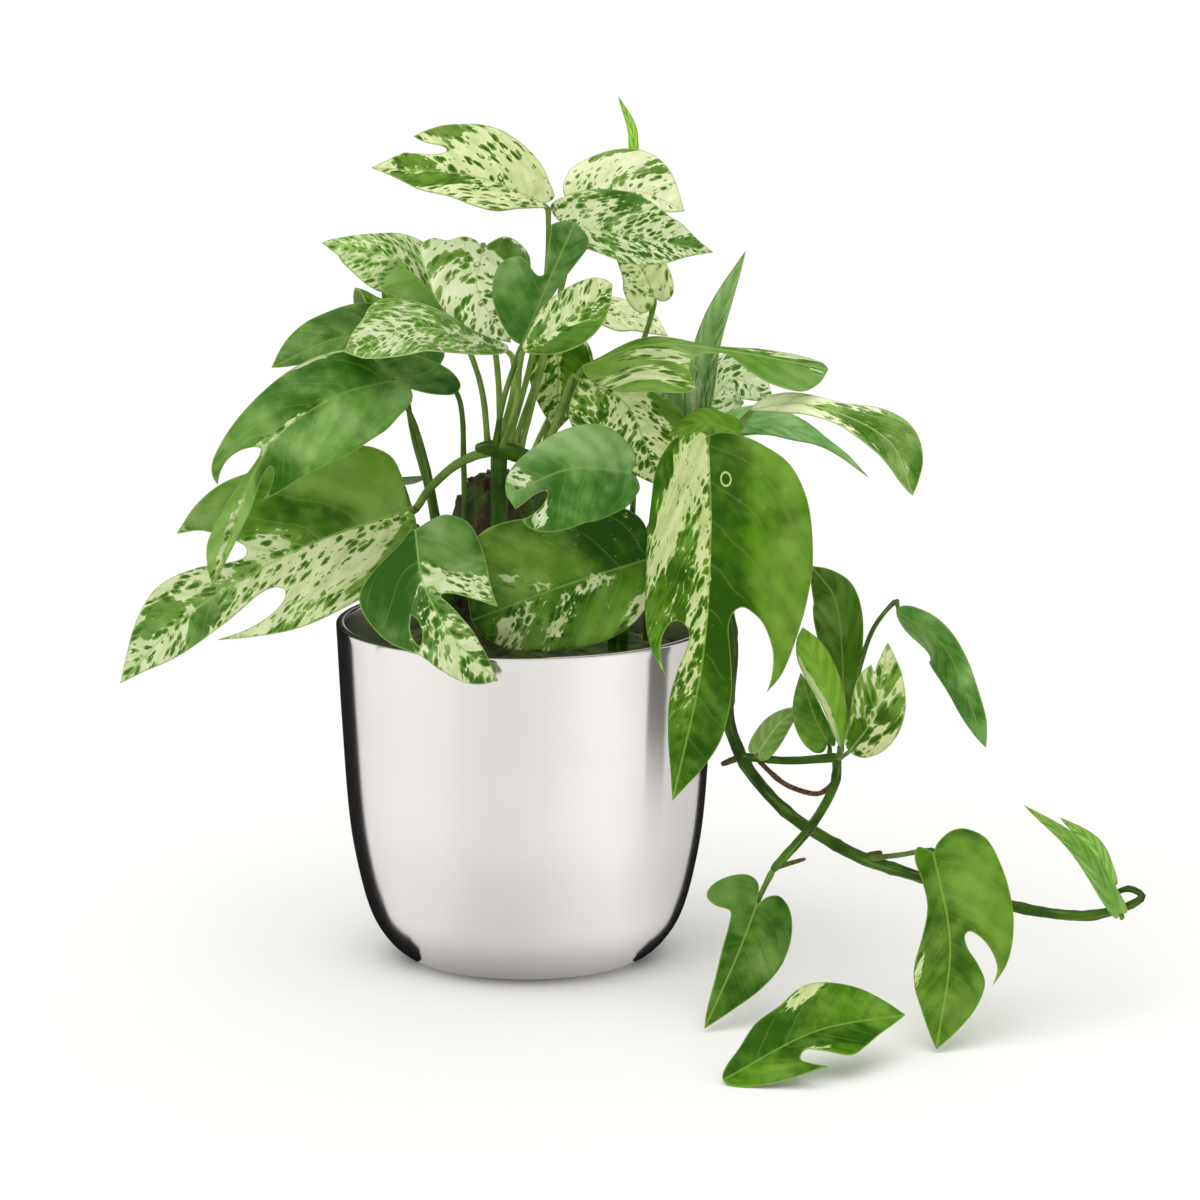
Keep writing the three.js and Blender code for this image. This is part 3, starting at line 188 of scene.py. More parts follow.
CROWN_BLADES: tuple[Blade, ...] = (
    Blade(
        "leaf_top_left", Tone.MARBLED, rib=((10, 0, 381), (-24, -14, 396), (-75, -10, 400)), turn=30,
        wide=(24, 25), fold=22, wave=1.2, cream=0.3, coarse=1.1, bright=1.16,
        petiole=Petiole((-9, -18, 262), ((2, -8, 300), (10, 0, 340)), 2),
        left=((0, 12), (18, 52), (33, 93), (45, 102), (58, 88), (71, 70), (83, 38), (92, 15)),
        right=(
            (-4, 20), (2, 48), (10, 73), (25, 93), (43, 103), (62, 98), (72, 84), (79, 68, 1), (73, 58),
            (63, 52), (61, 43), (66, 36), (76, 34), (83, 35, 1), (90, 22),
        ),
        patches=(
            (70, 95, 14, 20, -2.6), (76, 18, 12, 14, -1.8), (70, -30, 20, 30, -2.0), (10, 20, 12, 40, 0.7),
        ),
    ),
    Blade(
        "leaf_spike", Tone.BRIGHT, rib=((54, 44, 397), (53, 43, 413), (46, 41, 430)), turn=0, wide=(3, 3),
        fold=35, heart=0, cream=-3.0, fresh=0.9, shade=2.3,
        petiole=Petiole((15, 17, 338), ((34, 44, 360), (50, 50, 382)), 1.3),
    ),
    Blade(
        "leaf_top_back", Tone.PALE, rib=((30, 22, 374), (54, 26, 384), (79, 20, 375)), turn=-30,
        wide=(26, 20), fold=8, cream=0.6, grey=(0.0, 0.1), bright=1.08,
        petiole=Petiole((-6, -14, 262), ((8, 10, 300), (20, 22, 345)), 2),
        patches=(
            (45, -95, 14, 12, -2.6), (62, -60, 8, 20, -1.8), (40, -30, 8, 12, -1.4), (88, -30, 12, 50, 0.8),
        ),
    ),
    Blade(
        "leaf_upper_right", Tone.MARBLED, rib=((23, -5, 371), (57, -22, 367), (92, -30, 361)), turn=-38,
        wide=(25, 26), fold=18, wave=1.2, cream=0.1, shade=0.95, grey=(0.5, 0.6),
        petiole=Petiole((-3, -14, 258), ((8, -6, 300), (18, -2, 340)), 2),
        left=((-12, 8), (-20, 33), (-15, 55), (4, 82), (31, 96), (49, 80), (68, 54, 1), (76, 46), (87, 23)),
        right=((-5, 20), (5, 50), (28, 80), (53, 99), (71, 79), (87, 34), (95, 12)),
        patches=(
            (10, -92, 8, 12, -2.0), (28, -22, 5, 14, -1.4), (42, -50, 5, 10, -1.0), (82, -7, 12, 10, -1.6),
            (42, 65, 6, 30, -1.2), (40, -85, 14, 16, -1.6),
        ),
    ),
    Blade(
        "leaf_under_right", Tone.MARBLED, rib=((64, 10, 333), (57, 4, 349), (43, 0, 362)), turn=10,
        wide=(14, 12), fold=10, cream=0.4, fresh=0.7, shade=1.5, bright=1.25,
        petiole=Petiole((11, -8, 249), ((38, 6, 268), (52, 22, 294), (60, 20, 314)), 2),
    ),
    Blade(
        "leaf_centre_dark", Tone.DARK, rib=((-1, -48, 318), (10, -45, 344), (25, -30, 376)), turn=0,
        wide=(26, 14), fold=8, cream=-3.0, shade=1.2, grey=(0.6, 0.6),
        petiole=Petiole((-15, -20, 262), ((-10, -38, 290),), 2),
        left=(
            (1, 21), (10, 54), (22, 82), (33, 95), (45, 98), (54, 84), (58, 64), (55, 46), (51, 24),
            (55, 13), (68, 22), (90, 39, 1), (95, 27),
        ),
        right=((2, 6), (12, 16), (35, 30), (55, 46), (69, 61), (86, 80, 1), (93, 60)),
        patches=((75, -50, 20, 16, 3.4),),
    ),
    Blade(
        "leaf_centre_right", Tone.MARBLED, rib=((0, -54, 317), (22, -62, 332), (43, -56, 349)), turn=-22,
        wide=(14, 18), fold=10, cream=-0.25, shade=1.05, grey=(0.3, 0.2),
        petiole=Petiole((-12, -20, 262), ((-4, -40, 288),), 2),
        left=((0, 10), (9, 35), (30, 90), (48, 103), (72, 92), (90, 68), (98, 30)),
        right=((0, 10), (5, 25), (19, 52), (37, 78), (52, 88), (70, 74), (87, 41), (96, 14)),
        patches=(
            (35, 70, 50, 42, -2.6), (60, -35, 30, 30, 0.5), (20, -30, 7, 14, -1.6), (92, -20, 10, 50, 1.2),
        ),
    ),
    Blade(
        "leaf_upper_left", Tone.MARBLED, rib=((-42, 12, 330), (-67, 2, 354), (-100, -2, 362)), turn=30,
        wide=(20, 23), fold=-18, cream=-0.35, fresh=0.4, shade=1.4, grey=(0.5, 0.3), bright=1.08,
        petiole=Petiole((-18, -18, 260), ((-22, 0, 290), (-32, 10, 315)), 2),
        left=((2, 15), (10, 35), (26, 62), (45, 86), (64, 86), (82, 48), (88, 25), (94, 12)),
        right=((2, 40), (15, 90), (30, 102), (48, 86), (67, 58), (84, 33), (95, 14)),
        patches=((25, -25, 20, 40, -2.6), (58, -45, 16, 30, 0.6), (50, 60, 30, 40, 0.3)),
    ),
    Blade(
        "leaf_upper_middle", Tone.PALE, rib=((-21, -4, 359), (-23, -16, 340), (-7, -18, 314.5)), turn=0,
        wide=(26, 27), fold=-6, wave=1, cream=0.35, coarse=1.1, grey=(0.4, 0.2), bright=1.12,
        petiole=Petiole((-12, -18, 262), ((-14, 2, 300), (-20, 6, 335)), 2),
        left=((-8, 13), (-17, 40), (-12, 70), (2, 93), (16, 97), (40, 84), (60, 68), (76, 46), (88, 20)),
        right=(
            (-8, 11), (-12, 36), (-7, 66), (-8, 94), (0, 114), (16, 108), (33, 86), (50, 68), (67, 52),
            (86, 26),
        ),
        patches=((15, 60, 5, 35, -1.2), (55, 45, 5, 18, -1.0), (-3, -50, 7, 50, -2.2)),
    ),
    Blade(
        "leaf_middle_left", Tone.PALE, rib=((-8, -25, 312.5), (-51, -41, 325.5), (-87, -50, 315)), turn=52,
        wide=(30, 30), fold=4, wave=1.2, cream=-0.55, fresh=0.2, shade=1.05, grey=(0.8, 0.3), bright=0.93,
        petiole=Petiole((-14, -20, 262), ((-6, -22, 290),), 2),
        left=((2, 10), (12, 30), (41, 65), (63, 82), (76, 72), (91, 45), (96, 24)),
        right=((2, 12), (23, 22), (40, 46), (56, 76), (67, 95), (75, 86), (82, 60), (92, 33)),
        patches=((30, 50, 14, 26, -1.8), (75, 25, 20, 30, 0.5), (68, -25, 18, 30, 0.5)),
    ),
    Blade(
        "leaf_centre_hanging", Tone.BRIGHT, rib=((16, 16, 309), (16, 10, 289), (15, 8, 266)), turn=0,
        wide=(18, 15), fold=-12, cream=-0.3, shade=1.1, bright=1.2,
        petiole=Petiole((4, -10, 253), ((10, 12, 262), (15, 26, 290)), 2),
        patches=((50, -50, 50, 35, -1.6), (50, 5, 50, 10, 1.2), (50, 50, 40, 30, 0.2)),
    ),
    Blade(
        "leaf_right_long", Tone.MARBLED,
        rib=((28, -12, 302), (62, -26, 315), (103, -30, 312), (149, -28, 303)), turn=-48, wide=(20, 27),
        fold=-12, cream=-2.4, coarse=1.2, sweep=0.5, fresh=0.25, shade=1.1, grey=(0.0, 0.5), bright=1.02,
        petiole=Petiole((6, -10, 250), ((19, 0, 278),), 2),
        left=(
            (2, 6), (8, 12), (16, 27), (25, 37), (33, 42), (42, 27), (51, 15), (63, 20), (78, 42), (89, 40),
            (97, 30),
        ),
        right=(
            (2, 25), (8, 56), (19, 91), (34, 114), (46, 112), (51, 96, 1), (48, 69), (47, 38), (50, 20),
            (56, 10), (61, 10), (68, 34), (78, 58), (90, 64), (97, 35),
        ),
        patches=(
            (38, 25, 8, 35, 2.5), (22, 60, 18, 20, 2.4), (40, 85, 10, 20, 2.0), (25, 20, 8, 16, 2.0),
            (85, -35, 16, 30, 2.9), (95, 10, 3, 12, 2.4),
        ),
    ),
    Blade(
        "leaf_right_hanging", Tone.MARBLED, rib=((27, -13, 295.5), (50, -20, 284), (66, -28, 245)), turn=0,
        wide=(24, 24), fold=-8, cream=0.1, shade=1.15, bright=1.3,
        petiole=Petiole((4, -11, 252), ((14, -14, 272),), 2),
        left=((2, 6), (14, 20), (31, 45), (46, 71), (57, 92), (66, 98, 1), (77, 70), (90, 31)),
        right=((0, 20), (1, 50), (4, 82), (12, 101), (35, 102), (63, 88), (86, 42)),
        patches=((45, -75, 25, 22, -3.0), (50, -25, 25, 20, 0.6), (15, 30, 15, 40, -0.5)),
    ),
    Blade(
        "leaf_back_pale", Tone.PALE, rib=((39, 34, 322), (57, 36, 319), (71, 36, 310)), turn=-50,
        wide=(13, 13), fold=0, cream=0.8, grey=(0.1, 0.2), bright=1.4,
        petiole=Petiole((4, -8, 252), ((5, 14, 258), (22, 32, 290)), 2),
    ),
    Blade(
        "leaf_left_big", Tone.MARBLED,
        rib=((-58, -22, 232), (-110, -40, 216), (-164, -46, 185), (-200, -40, 148)), turn=12, wide=(36, 44),
        fold=6, wave=1.6, cream=0.0, coarse=1.25, fresh=0.15, grey=(0.0, 0.6),
        petiole=Petiole((-15, -20, 262), ((-32, -24, 256), (-47, -24, 243)), 3),
        left=(
            (-1, 18), (3, 51), (9, 79), (18, 95), (33, 105), (45, 102), (57, 82), (68, 54, 1), (59, 66),
            (51, 67), (45, 58), (43, 45), (45, 34), (50, 32), (60, 40), (72, 42), (83, 32), (93, 12),
        ),
        right=(
            (-1, 16), (-2, 39), (-1, 65), (5, 84), (14, 90), (28, 96), (43, 106), (52, 101), (59, 87),
            (61, 82, 1), (55, 70), (49, 43), (47, 28), (49, 20), (54, 25), (61, 37), (72, 46), (82, 37),
            (92, 18),
        ),
        patches=(
            (30, -45, 35, 60, 0.45), (12, 50, 30, 90, -3.4), (42, 22, 9, 16, 1.4), (50, 6, 10, 8, -1.2),
            (6, -45, 3.5, 35, -2.0), (68, -20, 5, 30, -2.0), (84, -15, 10, 25, 0.6), (78, 20, 8, 14, -1.8),
            (68, 42, 6, 20, 0.7), (42, -90, 12, 20, -0.6), (85, 35, 6, 20, 0.6),
        ),
        lights=((6, 50, 12, 50, 0.3), (25, 35, 10, 30, -0.3)),
    ),
    Blade(
        "leaf_behind_right", Tone.BRIGHT, rib=((57, 36, 279), (64, 74, 263), (60, 102, 239)), turn=180,
        wide=(22, 22), fold=0, cream=-0.6, petiole=Petiole((6, -6, 250), ((30, 16, 262),), 2),
    ),
)

LEFT_BLADES: tuple[Blade, ...] = (
    Blade(
        "leaf_left_front", Tone.DARK,
        rib=((-65, -38, 299), (-94, -58, 293), (-124, -68, 270), (-152, -62, 201)), turn=15, wide=(30, 26),
        fold=8, cream=-2.2, shade=1.3, grey=(0.5, 0.1),
        petiole=Petiole((-40, -7, 189), ((-44, -12, 228), (-52, -20, 267)), 2),
        left=(
            (-3, 4), (-5, 20), (-3, 46), (4, 66), (13, 88), (30, 103), (46, 88), (58, 62), (66, 34, 1),
            (61, 37), (56, 33), (54, 22), (59, 16), (70, 20), (80, 14), (90, 7),
        ),
        right=(
            (1, 19), (4, 50), (9, 73), (18, 82), (30, 85), (44, 79), (54, 82), (62, 82), (66, 72),
            (68, 56, 1), (64, 60), (59, 56), (54, 38), (51, 12), (56, 8), (67, 21), (80, 34), (88, 36),
            (95, 20),
        ),
        patches=(
            (14, 85, 10, 14, 2.0), (30, 90, 8, 10, 1.7), (40, 3, 14, 5, 2.6), (52, 20, 5, 12, 2.2),
            (85, 4, 20, 10, 2.2),
        ),
        lights=((85, 10, 20, 60, 0.6), (85, -10, 20, 60, 0.6), (10, -40, 25, 50, 0.25)),
    ),
    Blade(
        "leaf_left_back", Tone.DARK, rib=((-43, 32, 296), (-87, 14, 313), (-126, 4, 299)), turn=40,
        wide=(24, 22), fold=5, cream=-3.0, shade=1.2, grey=(0.3, 0.3),
        petiole=Petiole((-39, -5, 184), ((-31, -4, 220), (-31, 6, 250), (-33, 24, 278)), 2),
        right=((-2, 35), (4, 75), (15, 99), (27, 107), (42, 97), (58, 85), (73, 76), (84, 58), (93, 30)),
    ),
    Blade(
        "leaf_front_left", Tone.MARBLED,
        rib=((-53, -60, 229), (-48, -84, 206), (-33, -100, 183), (-12, -102, 163)), turn=10, wide=(31, 34),
        fold=-10, cream=-0.5, coarse=1.2, shade=0.95, grey=(0.7, 0.4),
        petiole=Petiole((-41, -8, 178), ((-50, -36, 200),), 2),
        left=(
            (-4, 25), (-6, 50), (-2, 73), (5, 91), (18, 101), (41, 102), (71, 84, 1), (59, 65), (47, 36),
            (45, 18), (55, 26), (72, 30), (87, 18), (94, 7),
        ),
        right=(
            (-1, 8), (6, 28), (15, 66), (24, 95), (31, 102), (40, 97), (50, 85), (64, 57), (76, 47),
            (87, 38), (95, 22),
        ),
        holes=((Side.RIGHT, ((45, 36), (52, 50), (60, 50), (57, 36), (50, 30))),),
        patches=(
            (12, -50, 16, 60, -2.4), (42, -55, 10, 50, 1.2), (82, -30, 6, 20, 0.8), (20, 50, 30, 60, -2.6),
            (75, 20, 25, 25, 0.5), (90, 50, 20, 20, 1.0),
        ),
        lights=((20, 50, 30, 60, -0.3), (30, -40, 30, 50, 0.3)),
    ),
    Blade(
        "leaf_behind_left", Tone.BRIGHT, rib=((-62, 48, 315), (-68, 84, 321), (-75, 112, 308)), turn=45,
        wide=(24, 24), fold=5, cream=-1.2,
        petiole=Petiole((-41, -4, 180), ((-48, 18, 228), (-58, 42, 262), (-62, 44, 294)), 2),
    ),
    Blade(
        "leaf_behind_low_left", Tone.DARK, rib=((-67, 50, 235), (-99, 72, 226), (-133, 92, 210)), turn=100,
        wide=(28, 26), fold=5, cream=-1.5, petiole=Petiole((-42, -5, 172), ((-56, 20, 215),), 2),
    ),
)

RIGHT_BLADES: tuple[Blade, ...] = (
    Blade(
        "leaf_front_heart", Tone.DARK, rib=((52, -70, 259), (23, -88, 264), (-8, -94, 252)), turn=15,
        wide=(31, 25), fold=0, cream=-2.6, shade=1.22, grey=(0.8, 0.6),
        petiole=Petiole((45, -14, 185), ((52, -40, 225),), 2),
        left=(
            (-5, 11), (-6, 26), (-1, 40), (8, 60), (29, 82), (50, 90), (70, 91), (87, 79), (95, 62),
            (97, 46, 1), (90, 45), (82, 40), (75, 30), (74, 20), (82, 18), (90, 22), (98, 26, 1), (99, 12),
        ),
        right=(
            (-5, 22), (-3, 50), (7, 74), (20, 86), (34, 87), (57, 74), (72, 63), (84, 52), (93, 36),
            (98, 17),
        ),
        patches=((93, 35, 10, 40, 3.2), (82, -45, 7, 30, 2.6)),
        lights=((25, 50, 40, 50, 0.3), (20, -30, 30, 30, -0.1)),
    ),
    Blade(
        "leaf_front_wide", Tone.DARK, rib=((64, -52, 214), (20, -68, 203), (-26, -61, 184)), turn=-5,
        wide=(35, 38), fold=4, cream=-1.9, coarse=1.15, shade=1.1,
        petiole=Petiole((45, -12, 165), ((60, -26, 188),), 2),
        left=((2, 20), (5, 42), (12, 64), (25, 85), (43, 91), (65, 82), (84, 62), (95, 35)),
        right=(
            (0, 23), (2, 52), (11, 74), (27, 82), (42, 87), (58, 100), (72, 104), (82, 95), (90, 70),
            (96, 37),
        ),
        patches=(
            (34, -10, 9, 12, 2.1), (52, -30, 8, 30, 1.8), (82, -35, 14, 36, 1.8), (16, -62, 5, 20, 2.4),
            (72, 30, 5, 12, 1.5), (60, 8, 5, 8, 1.7), (66, -65, 6, 20, 1.6),
        ),
        lights=((12, 30, 20, 50, -0.5), (75, 60, 25, 50, 0.25), (30, -60, 15, 35, 0.4)),
    ),
    Blade(
        "leaf_hero", Tone.BRIGHT, rib=((89, -70, 277), (90, -98, 236), (86, -112, 175), (72, -112, 106)),
        turn=20, wide=(52, 41), fold=-20, wave=1.6, cream=-2.6, coarse=1.25, sweep=0.34, shade=0.84,
        bright=0.96, scar=(0.13, -0.15),
        petiole=Petiole((48, -12, 188), ((72, -24, 225), (88, -46, 258)), 2.6),
        left=(
            (-1, 12), (0, 30), (3, 50), (9, 74), (20, 90), (34, 96), (44, 92), (54, 83), (62, 74),
            (67, 63, 1), (63, 65), (57, 63), (51, 53), (48, 41), (47, 31), (49, 23), (53, 21), (60, 26),
            (70, 32), (81, 31), (90, 20), (95, 10),
        ),
        right=(
            (-2, 11), (-3, 35), (-2, 58), (5, 83), (19, 92), (34, 95), (47, 96), (56, 90), (63, 74),
            (69, 50, 1), (64, 62), (58, 66), (53, 56), (52, 40), (54, 26), (58, 24), (66, 34), (75, 38),
            (84, 29), (93, 12),
        ),
        patches=(
            (40, 50, 70, 100, 1.4), (15, 42, 10, 50, 1.7), (28, 75, 9, 40, 0.8), (45, 10, 45, 20, 1.1),
            (95, 20, 20, 60, -0.6),
        ),
        lights=((30, -65, 30, 35, 0.2), (30, -12, 60, 25, -0.35), (62, -40, 12, 30, -0.3)),
    ),
    Blade(
        "leaf_behind_hero", Tone.BRIGHT, rib=((103, -36, 273), (88, -38, 278), (70, -40, 272)), turn=40,
        wide=(8, 10), fold=0, cream=-3.0, fresh=0.2, shade=1.05,
        petiole=Petiole((52, -8, 188), ((88, -8, 230), (106, -26, 256)), 1.6),
    ),
    Blade(
        "leaf_right_tall", Tone.DARK, rib=((87, 10, 274), (93, 4, 313), (109, 6, 357)), turn=-20,
        wide=(10, 10), fold=42, heart=0.4, cream=-2.4, fresh=0.5, shade=1.6, grey=(0.8, 0.6),
        petiole=Petiole((42, -10, 188), ((47, -6, 238), (56, 4, 257), (76, 14, 266)), 2),
        patches=((15, 40, 30, 50, 2.2), (10, -40, 20, 40, 1.8)), lights=((70, 40, 40, 50, 0.3),),
    ),
    Blade(
        "leaf_right_pale", Tone.PALE, rib=((90, 37, 273), (105, 41, 287), (125, 37, 276)), turn=-20,
        wide=(16, 14), fold=0, cream=0.45, grey=(0.5, 0.8), bright=1.22,
        petiole=Petiole((48, -6, 185), ((70, 18, 235),), 2),
    ),
    Blade(
        "leaf_right_grey", Tone.DARK, rib=((93, 22, 266), (121, 0, 271), (149, -8, 262), (170, -8, 246)),
        turn=-50, wide=(14, 12), fold=5, cream=-2.2, fresh=0.2, shade=1.9, grey=(1.0, 1.0),
        petiole=Petiole((50, -8, 185), ((74, 10, 235),), 2),
        left=((0, 40), (5, 68), (18, 86), (38, 92), (56, 68), (72, 30), (86, 20)),
        right=((1, 30), (10, 66), (31, 90), (52, 82), (66, 36), (82, 16)),
    ),
    Blade(
        "leaf_right_arch", Tone.PALE,
        rib=((111, -22, 282), (139, -38, 287), (177, -46, 271), (190, -44, 243)), turn=-40, wide=(14, 14),
        fold=10, cream=-1.6, fresh=0.25, shade=1.15, grey=(0.0, 0.3), bright=1.2,
        petiole=Petiole((50, -10, 190), ((87, -8, 246), (100, -16, 269)), 2),
        left=((2, 20), (8, 42), (16, 46), (30, 42), (46, 50), (60, 90), (75, 110), (88, 90), (96, 40)),
        right=((3, 10), (12, 28), (25, 54), (44, 60), (58, 85), (72, 90), (86, 60), (95, 25)),
        patches=(
            (15, -40, 28, 60, 4.2), (15, 20, 20, 30, 3.2), (42, 50, 12, 40, 1.9), (50, -80, 14, 20, 1.8),
        ),
        lights=((75, -50, 30, 60, -0.4), (75, 50, 30, 60, -0.4)),
    ),
    Blade(
        "leaf_behind_low_right", Tone.DARK, rib=((107, 42, 241), (115, 66, 210), (113, 86, 167)), turn=180,
        wide=(24, 24), fold=4, cream=-1.2, petiole=Petiole((48, -4, 182), ((84, 22, 216),), 2),
    ),
    Blade(
        "leaf_behind_low", Tone.BRIGHT, rib=((23, 42, 235), (26, 78, 203), (29, 100, 162)), turn=180,
        wide=(26, 26), fold=4, cream=-1.2, petiole=Petiole((43, -4, 182), ((32, 20, 208),), 2),
    ),
)

VINE_BLADES: tuple[Blade, ...] = (
    Blade(
        "leaf_vine_back", Tone.DARK,
        rib=((157, -40, 119), (157, -32, 158), (153, -32, 189), (141, -34, 206)), turn=0, wide=(12, 13),
        fold=10, cream=-3.0, shade=0.93, petiole=Petiole((154, -48, 113), (), 1.4),
        left=((1, 15), (8, 35), (27, 66), (50, 94), (70, 108), (86, 80), (96, 30)),
        right=((2, 14), (14, 34), (30, 60), (50, 80), (68, 90), (80, 84), (88, 62), (95, 33)),
    ),
    Blade(
        "leaf_vine_bright", Tone.BRIGHT, rib=((155, -62, 121), (149, -72, 147), (136, -62, 181)), turn=0,
        wide=(10, 9), fold=14, cream=-2.8, fresh=0.45, shade=1.32, petiole=Petiole((154, -51, 113), (), 1.4),
        left=((3, 10), (15, 25), (42, 50), (63, 80), (80, 83), (93, 50)),
        right=((3, 20), (15, 55), (36, 80), (56, 92), (74, 86), (88, 56)),
        patches=((15, -20, 25, 22, 5.0), (42, -45, 20, 22, 5.0), (65, -78, 20, 22, 5.0)),
    ),
    Blade(
        "leaf_vine_side", Tone.DARK, rib=((149, -44, 120), (143, -44, 132), (136, -42, 154)), turn=0,
        wide=(11, 5), fold=5, cream=-3.0, shade=1.55, petiole=Petiole((150, -47, 112), (), 1.3),
    ),
    Blade(
        "leaf_vine_marbled", Tone.MARBLED, rib=((159, -72, 121), (170, -84, 142), (177, -74, 176)), turn=0,
        wide=(12, 14), fold=8, cream=-0.2, coarse=1.5, shade=0.93, bright=0.98,
        petiole=Petiole((154, -52, 112), (), 1.4),
        left=(
            (2, 20), (8, 42), (28, 81), (50, 104), (65, 103), (75, 82), (81, 52, 1), (76, 36), (84, 26),
            (93, 12),
        ),
        right=((0, 20), (5, 58), (20, 91), (36, 103), (56, 98), (77, 67), (91, 30)),
        patches=(
            (15, -10, 14, 25, -2.0), (30, -30, 10, 20, -1.2), (48, 60, 5, 30, -1.4), (75, 50, 7, 30, -1.4),
            (60, 55, 8, 30, 0.7),
        ),
    ),
    Blade(
        "leaf_vine_long", Tone.DARK, rib=((182, -56, 188), (205, -74, 173), (225, -80, 125)), turn=50,
        wide=(14, 17), fold=-10, cream=-3.0, shade=1.61, grey=(0.6, 0.5),
        petiole=Petiole((155, -46, 114), ((166, -42, 160), (172, -46, 178)), 1.7),
        left=((1, 20), (5, 42), (13, 62), (24, 70), (38, 60), (60, 55), (82, 46), (94, 20)),
        right=((1, 20), (6, 60), (15, 90), (32, 105), (52, 102), (75, 80), (92, 32)),
    ),
    Blade(
        "leaf_vine_small", Tone.PALE, rib=((116, -32, 112), (126, -36, 127), (138, -36, 136)), turn=0,
        wide=(7, 7), fold=0, cream=-2.6, fresh=0.3, shade=1.06, grey=(0.3, 0.3),
        petiole=Petiole((118, -27, 107), (), 1.2),
    ),
    Blade(
        "leaf_vine_front", Tone.BRIGHT, rib=((198, -112, 80), (204, -150, 44), (196, -182, 2)), turn=0,
        wide=(33, 15), fold=0, cream=-3.0, shade=0.84,
        petiole=Petiole((169, -72, 67), ((183, -92, 74),), 1.8),
        left=(
            (-5, 9), (-10, 30), (-10, 54), (-2, 82), (16, 94), (33, 96), (45, 92), (56, 83), (66, 65, 1),
            (58, 69), (49, 54), (43, 32), (45, 22), (51, 26), (58, 42), (66, 54), (78, 45), (91, 22),
        ),
        right=(
            (-3, 24), (-4, 49), (2, 63), (13, 55), (27, 56), (44, 86), (60, 110), (72, 102), (84, 64),
            (93, 30),
        ),
        patches=((64, 95, 10, 13, 4.2),), lights=((30, -60, 20, 40, 0.3),),
    ),
    Blade(
        "leaf_vine_low", Tone.BRIGHT, rib=((113, -104, 52), (103, -128, 33), (87, -147, 2)), turn=0,
        wide=(22, 22), fold=0, cream=-3.0, shade=0.82, grey=(0.35, 0.2),
        petiole=Petiole((121, -98, 68), (), 1.8),
        left=((-10, 17), (-14, 44), (-5, 76), (15, 97), (38, 98), (60, 76), (82, 36)),
        right=(
            (-16, 12), (-20, 40), (-14, 75), (-2, 106), (8, 110), (13, 86), (13, 50), (25, 42), (45, 36),
            (70, 22), (88, 12),
        ),
    ),
    Blade(
        "leaf_vine_end", Tone.BRIGHT, rib=((289, -103, 48), (268, -102, 80), (242, -100, 101)), turn=0,
        wide=(5, 6), fold=30, heart=0.2, cream=-3.0, fresh=0.4, shade=1.3, grey=(0.5, 0.3),
        petiole=Petiole((290, -100, 49), (), 1.2),
    ),
    Blade(
        "leaf_vine_end_young", Tone.BRIGHT, rib=((286, -88, 58), (278, -86, 77), (261, -84, 91)), turn=0,
        wide=(5, 5), fold=30, heart=0.2, cream=-3.0, fresh=0.8, shade=1.75, grey=(0.3, 0.3),
        petiole=Petiole((285, -90, 53), (), 1.1),
    ),
)

FALLEN_BLADE = Blade(
    "fallen_leaf", Tone.BRIGHT, rib=((94, -232, 2), (137, -214, 20), (181, -182, 19)), turn=-40,
    wide=(24, 20), fold=8, cream=-2.6,
    left=((1, 10), (6, 26), (14, 42), (27, 72), (41, 82), (53, 98), (64, 95), (81, 73), (93, 35)),
    right=(
        (0, 15), (3, 40), (14, 78), (26, 104), (40, 124, 1), (35, 90), (33, 62), (38, 42), (44, 66),
        (54, 102), (66, 80), (78, 50), (91, 22),
    ),
    patches=((50, -80, 8, 22, 3.6), (85, 92, 15, 12, 3.8), (42, 50, 6, 20, 2.6), (62, -90, 8, 14, 2.2)),
    lights=((20, -40, 25, 50, -0.3), (50, 30, 25, 40, -0.3)),
)

STEM_LINES: dict[str, tuple[StemLine, ...]] = {
    "crown": (
        StemLine(((-13, -10, 118), (-13, -10, 216)), (5, 5)),
        StemLine(((-13, -10, 210), (-13, -12, 236), (-13, -16, 262)), (5, 5, 4.5)),
        StemLine(((-24, -22, 262), (-13, -19, 262), (2, -14, 256), (12, -8, 248)), (4, 5, 4.5, 3.5)),
    ),
    "left": (StemLine(((-40, -6, 118), (-40, -6, 196)), (6, 5)),),
    "right": (StemLine(((46, -10, 118), (46, -10, 194)), (6, 5.5)),),
    "vine": (
        StemLine(((62, 16, 118), (62, 16, 172)), (3.6, 3.4)),
        StemLine(
            (
                (62, 16, 166), (64, 14, 184), (80, 8, 197), (97, 0, 186), (103, -6, 160), (101, -10, 125),
                (106, -16, 109), (114, -26, 97), (131, -42, 82), (155, -60, 70), (169, -72, 66),
                (191, -86, 62), (235, -100, 51), (270, -102, 46), (290, -100, 49), (301, -96, 54),
                (295, -92, 57), (285, -90, 53),
            ),
            (3.4, 3.4, 3.3, 3.3, 3.2, 3.1, 3.1, 3, 3, 3, 3.2, 2.8, 2.7, 2.6, 2.2, 1.8, 1.5, 1.2),
        ),
        StemLine(((107, -18, 106), (131, -36, 108), (155, -50, 113)), (2.2, 2, 2.4)),
        StemLine(((154, -50, 113), (152, -66, 103), (140, -86, 87), (121, -98, 68)), (2.4, 2.3, 2.3, 2.2)),
        StemLine(((108, -18, 106), (98, -14, 101)), (1.8, 1.5), brown=(0.3, 1)),
        StemLine(((122, -97, 69), (137, -92, 72)), (1.6, 0.9), brown=(0.2, 1)),
        StemLine(
            ((115, -24, 106), (129, -36, 96), (144, -44, 93), (152, -64, 103.5)), (1.2, 1.3, 1.3, 1.2),
            brown=(1, 1),
        ),
        StemLine(((168, -71, 68), (175, -75, 71)), (2, 1.2), brown=(0.1, 0.9)),
    ),
}

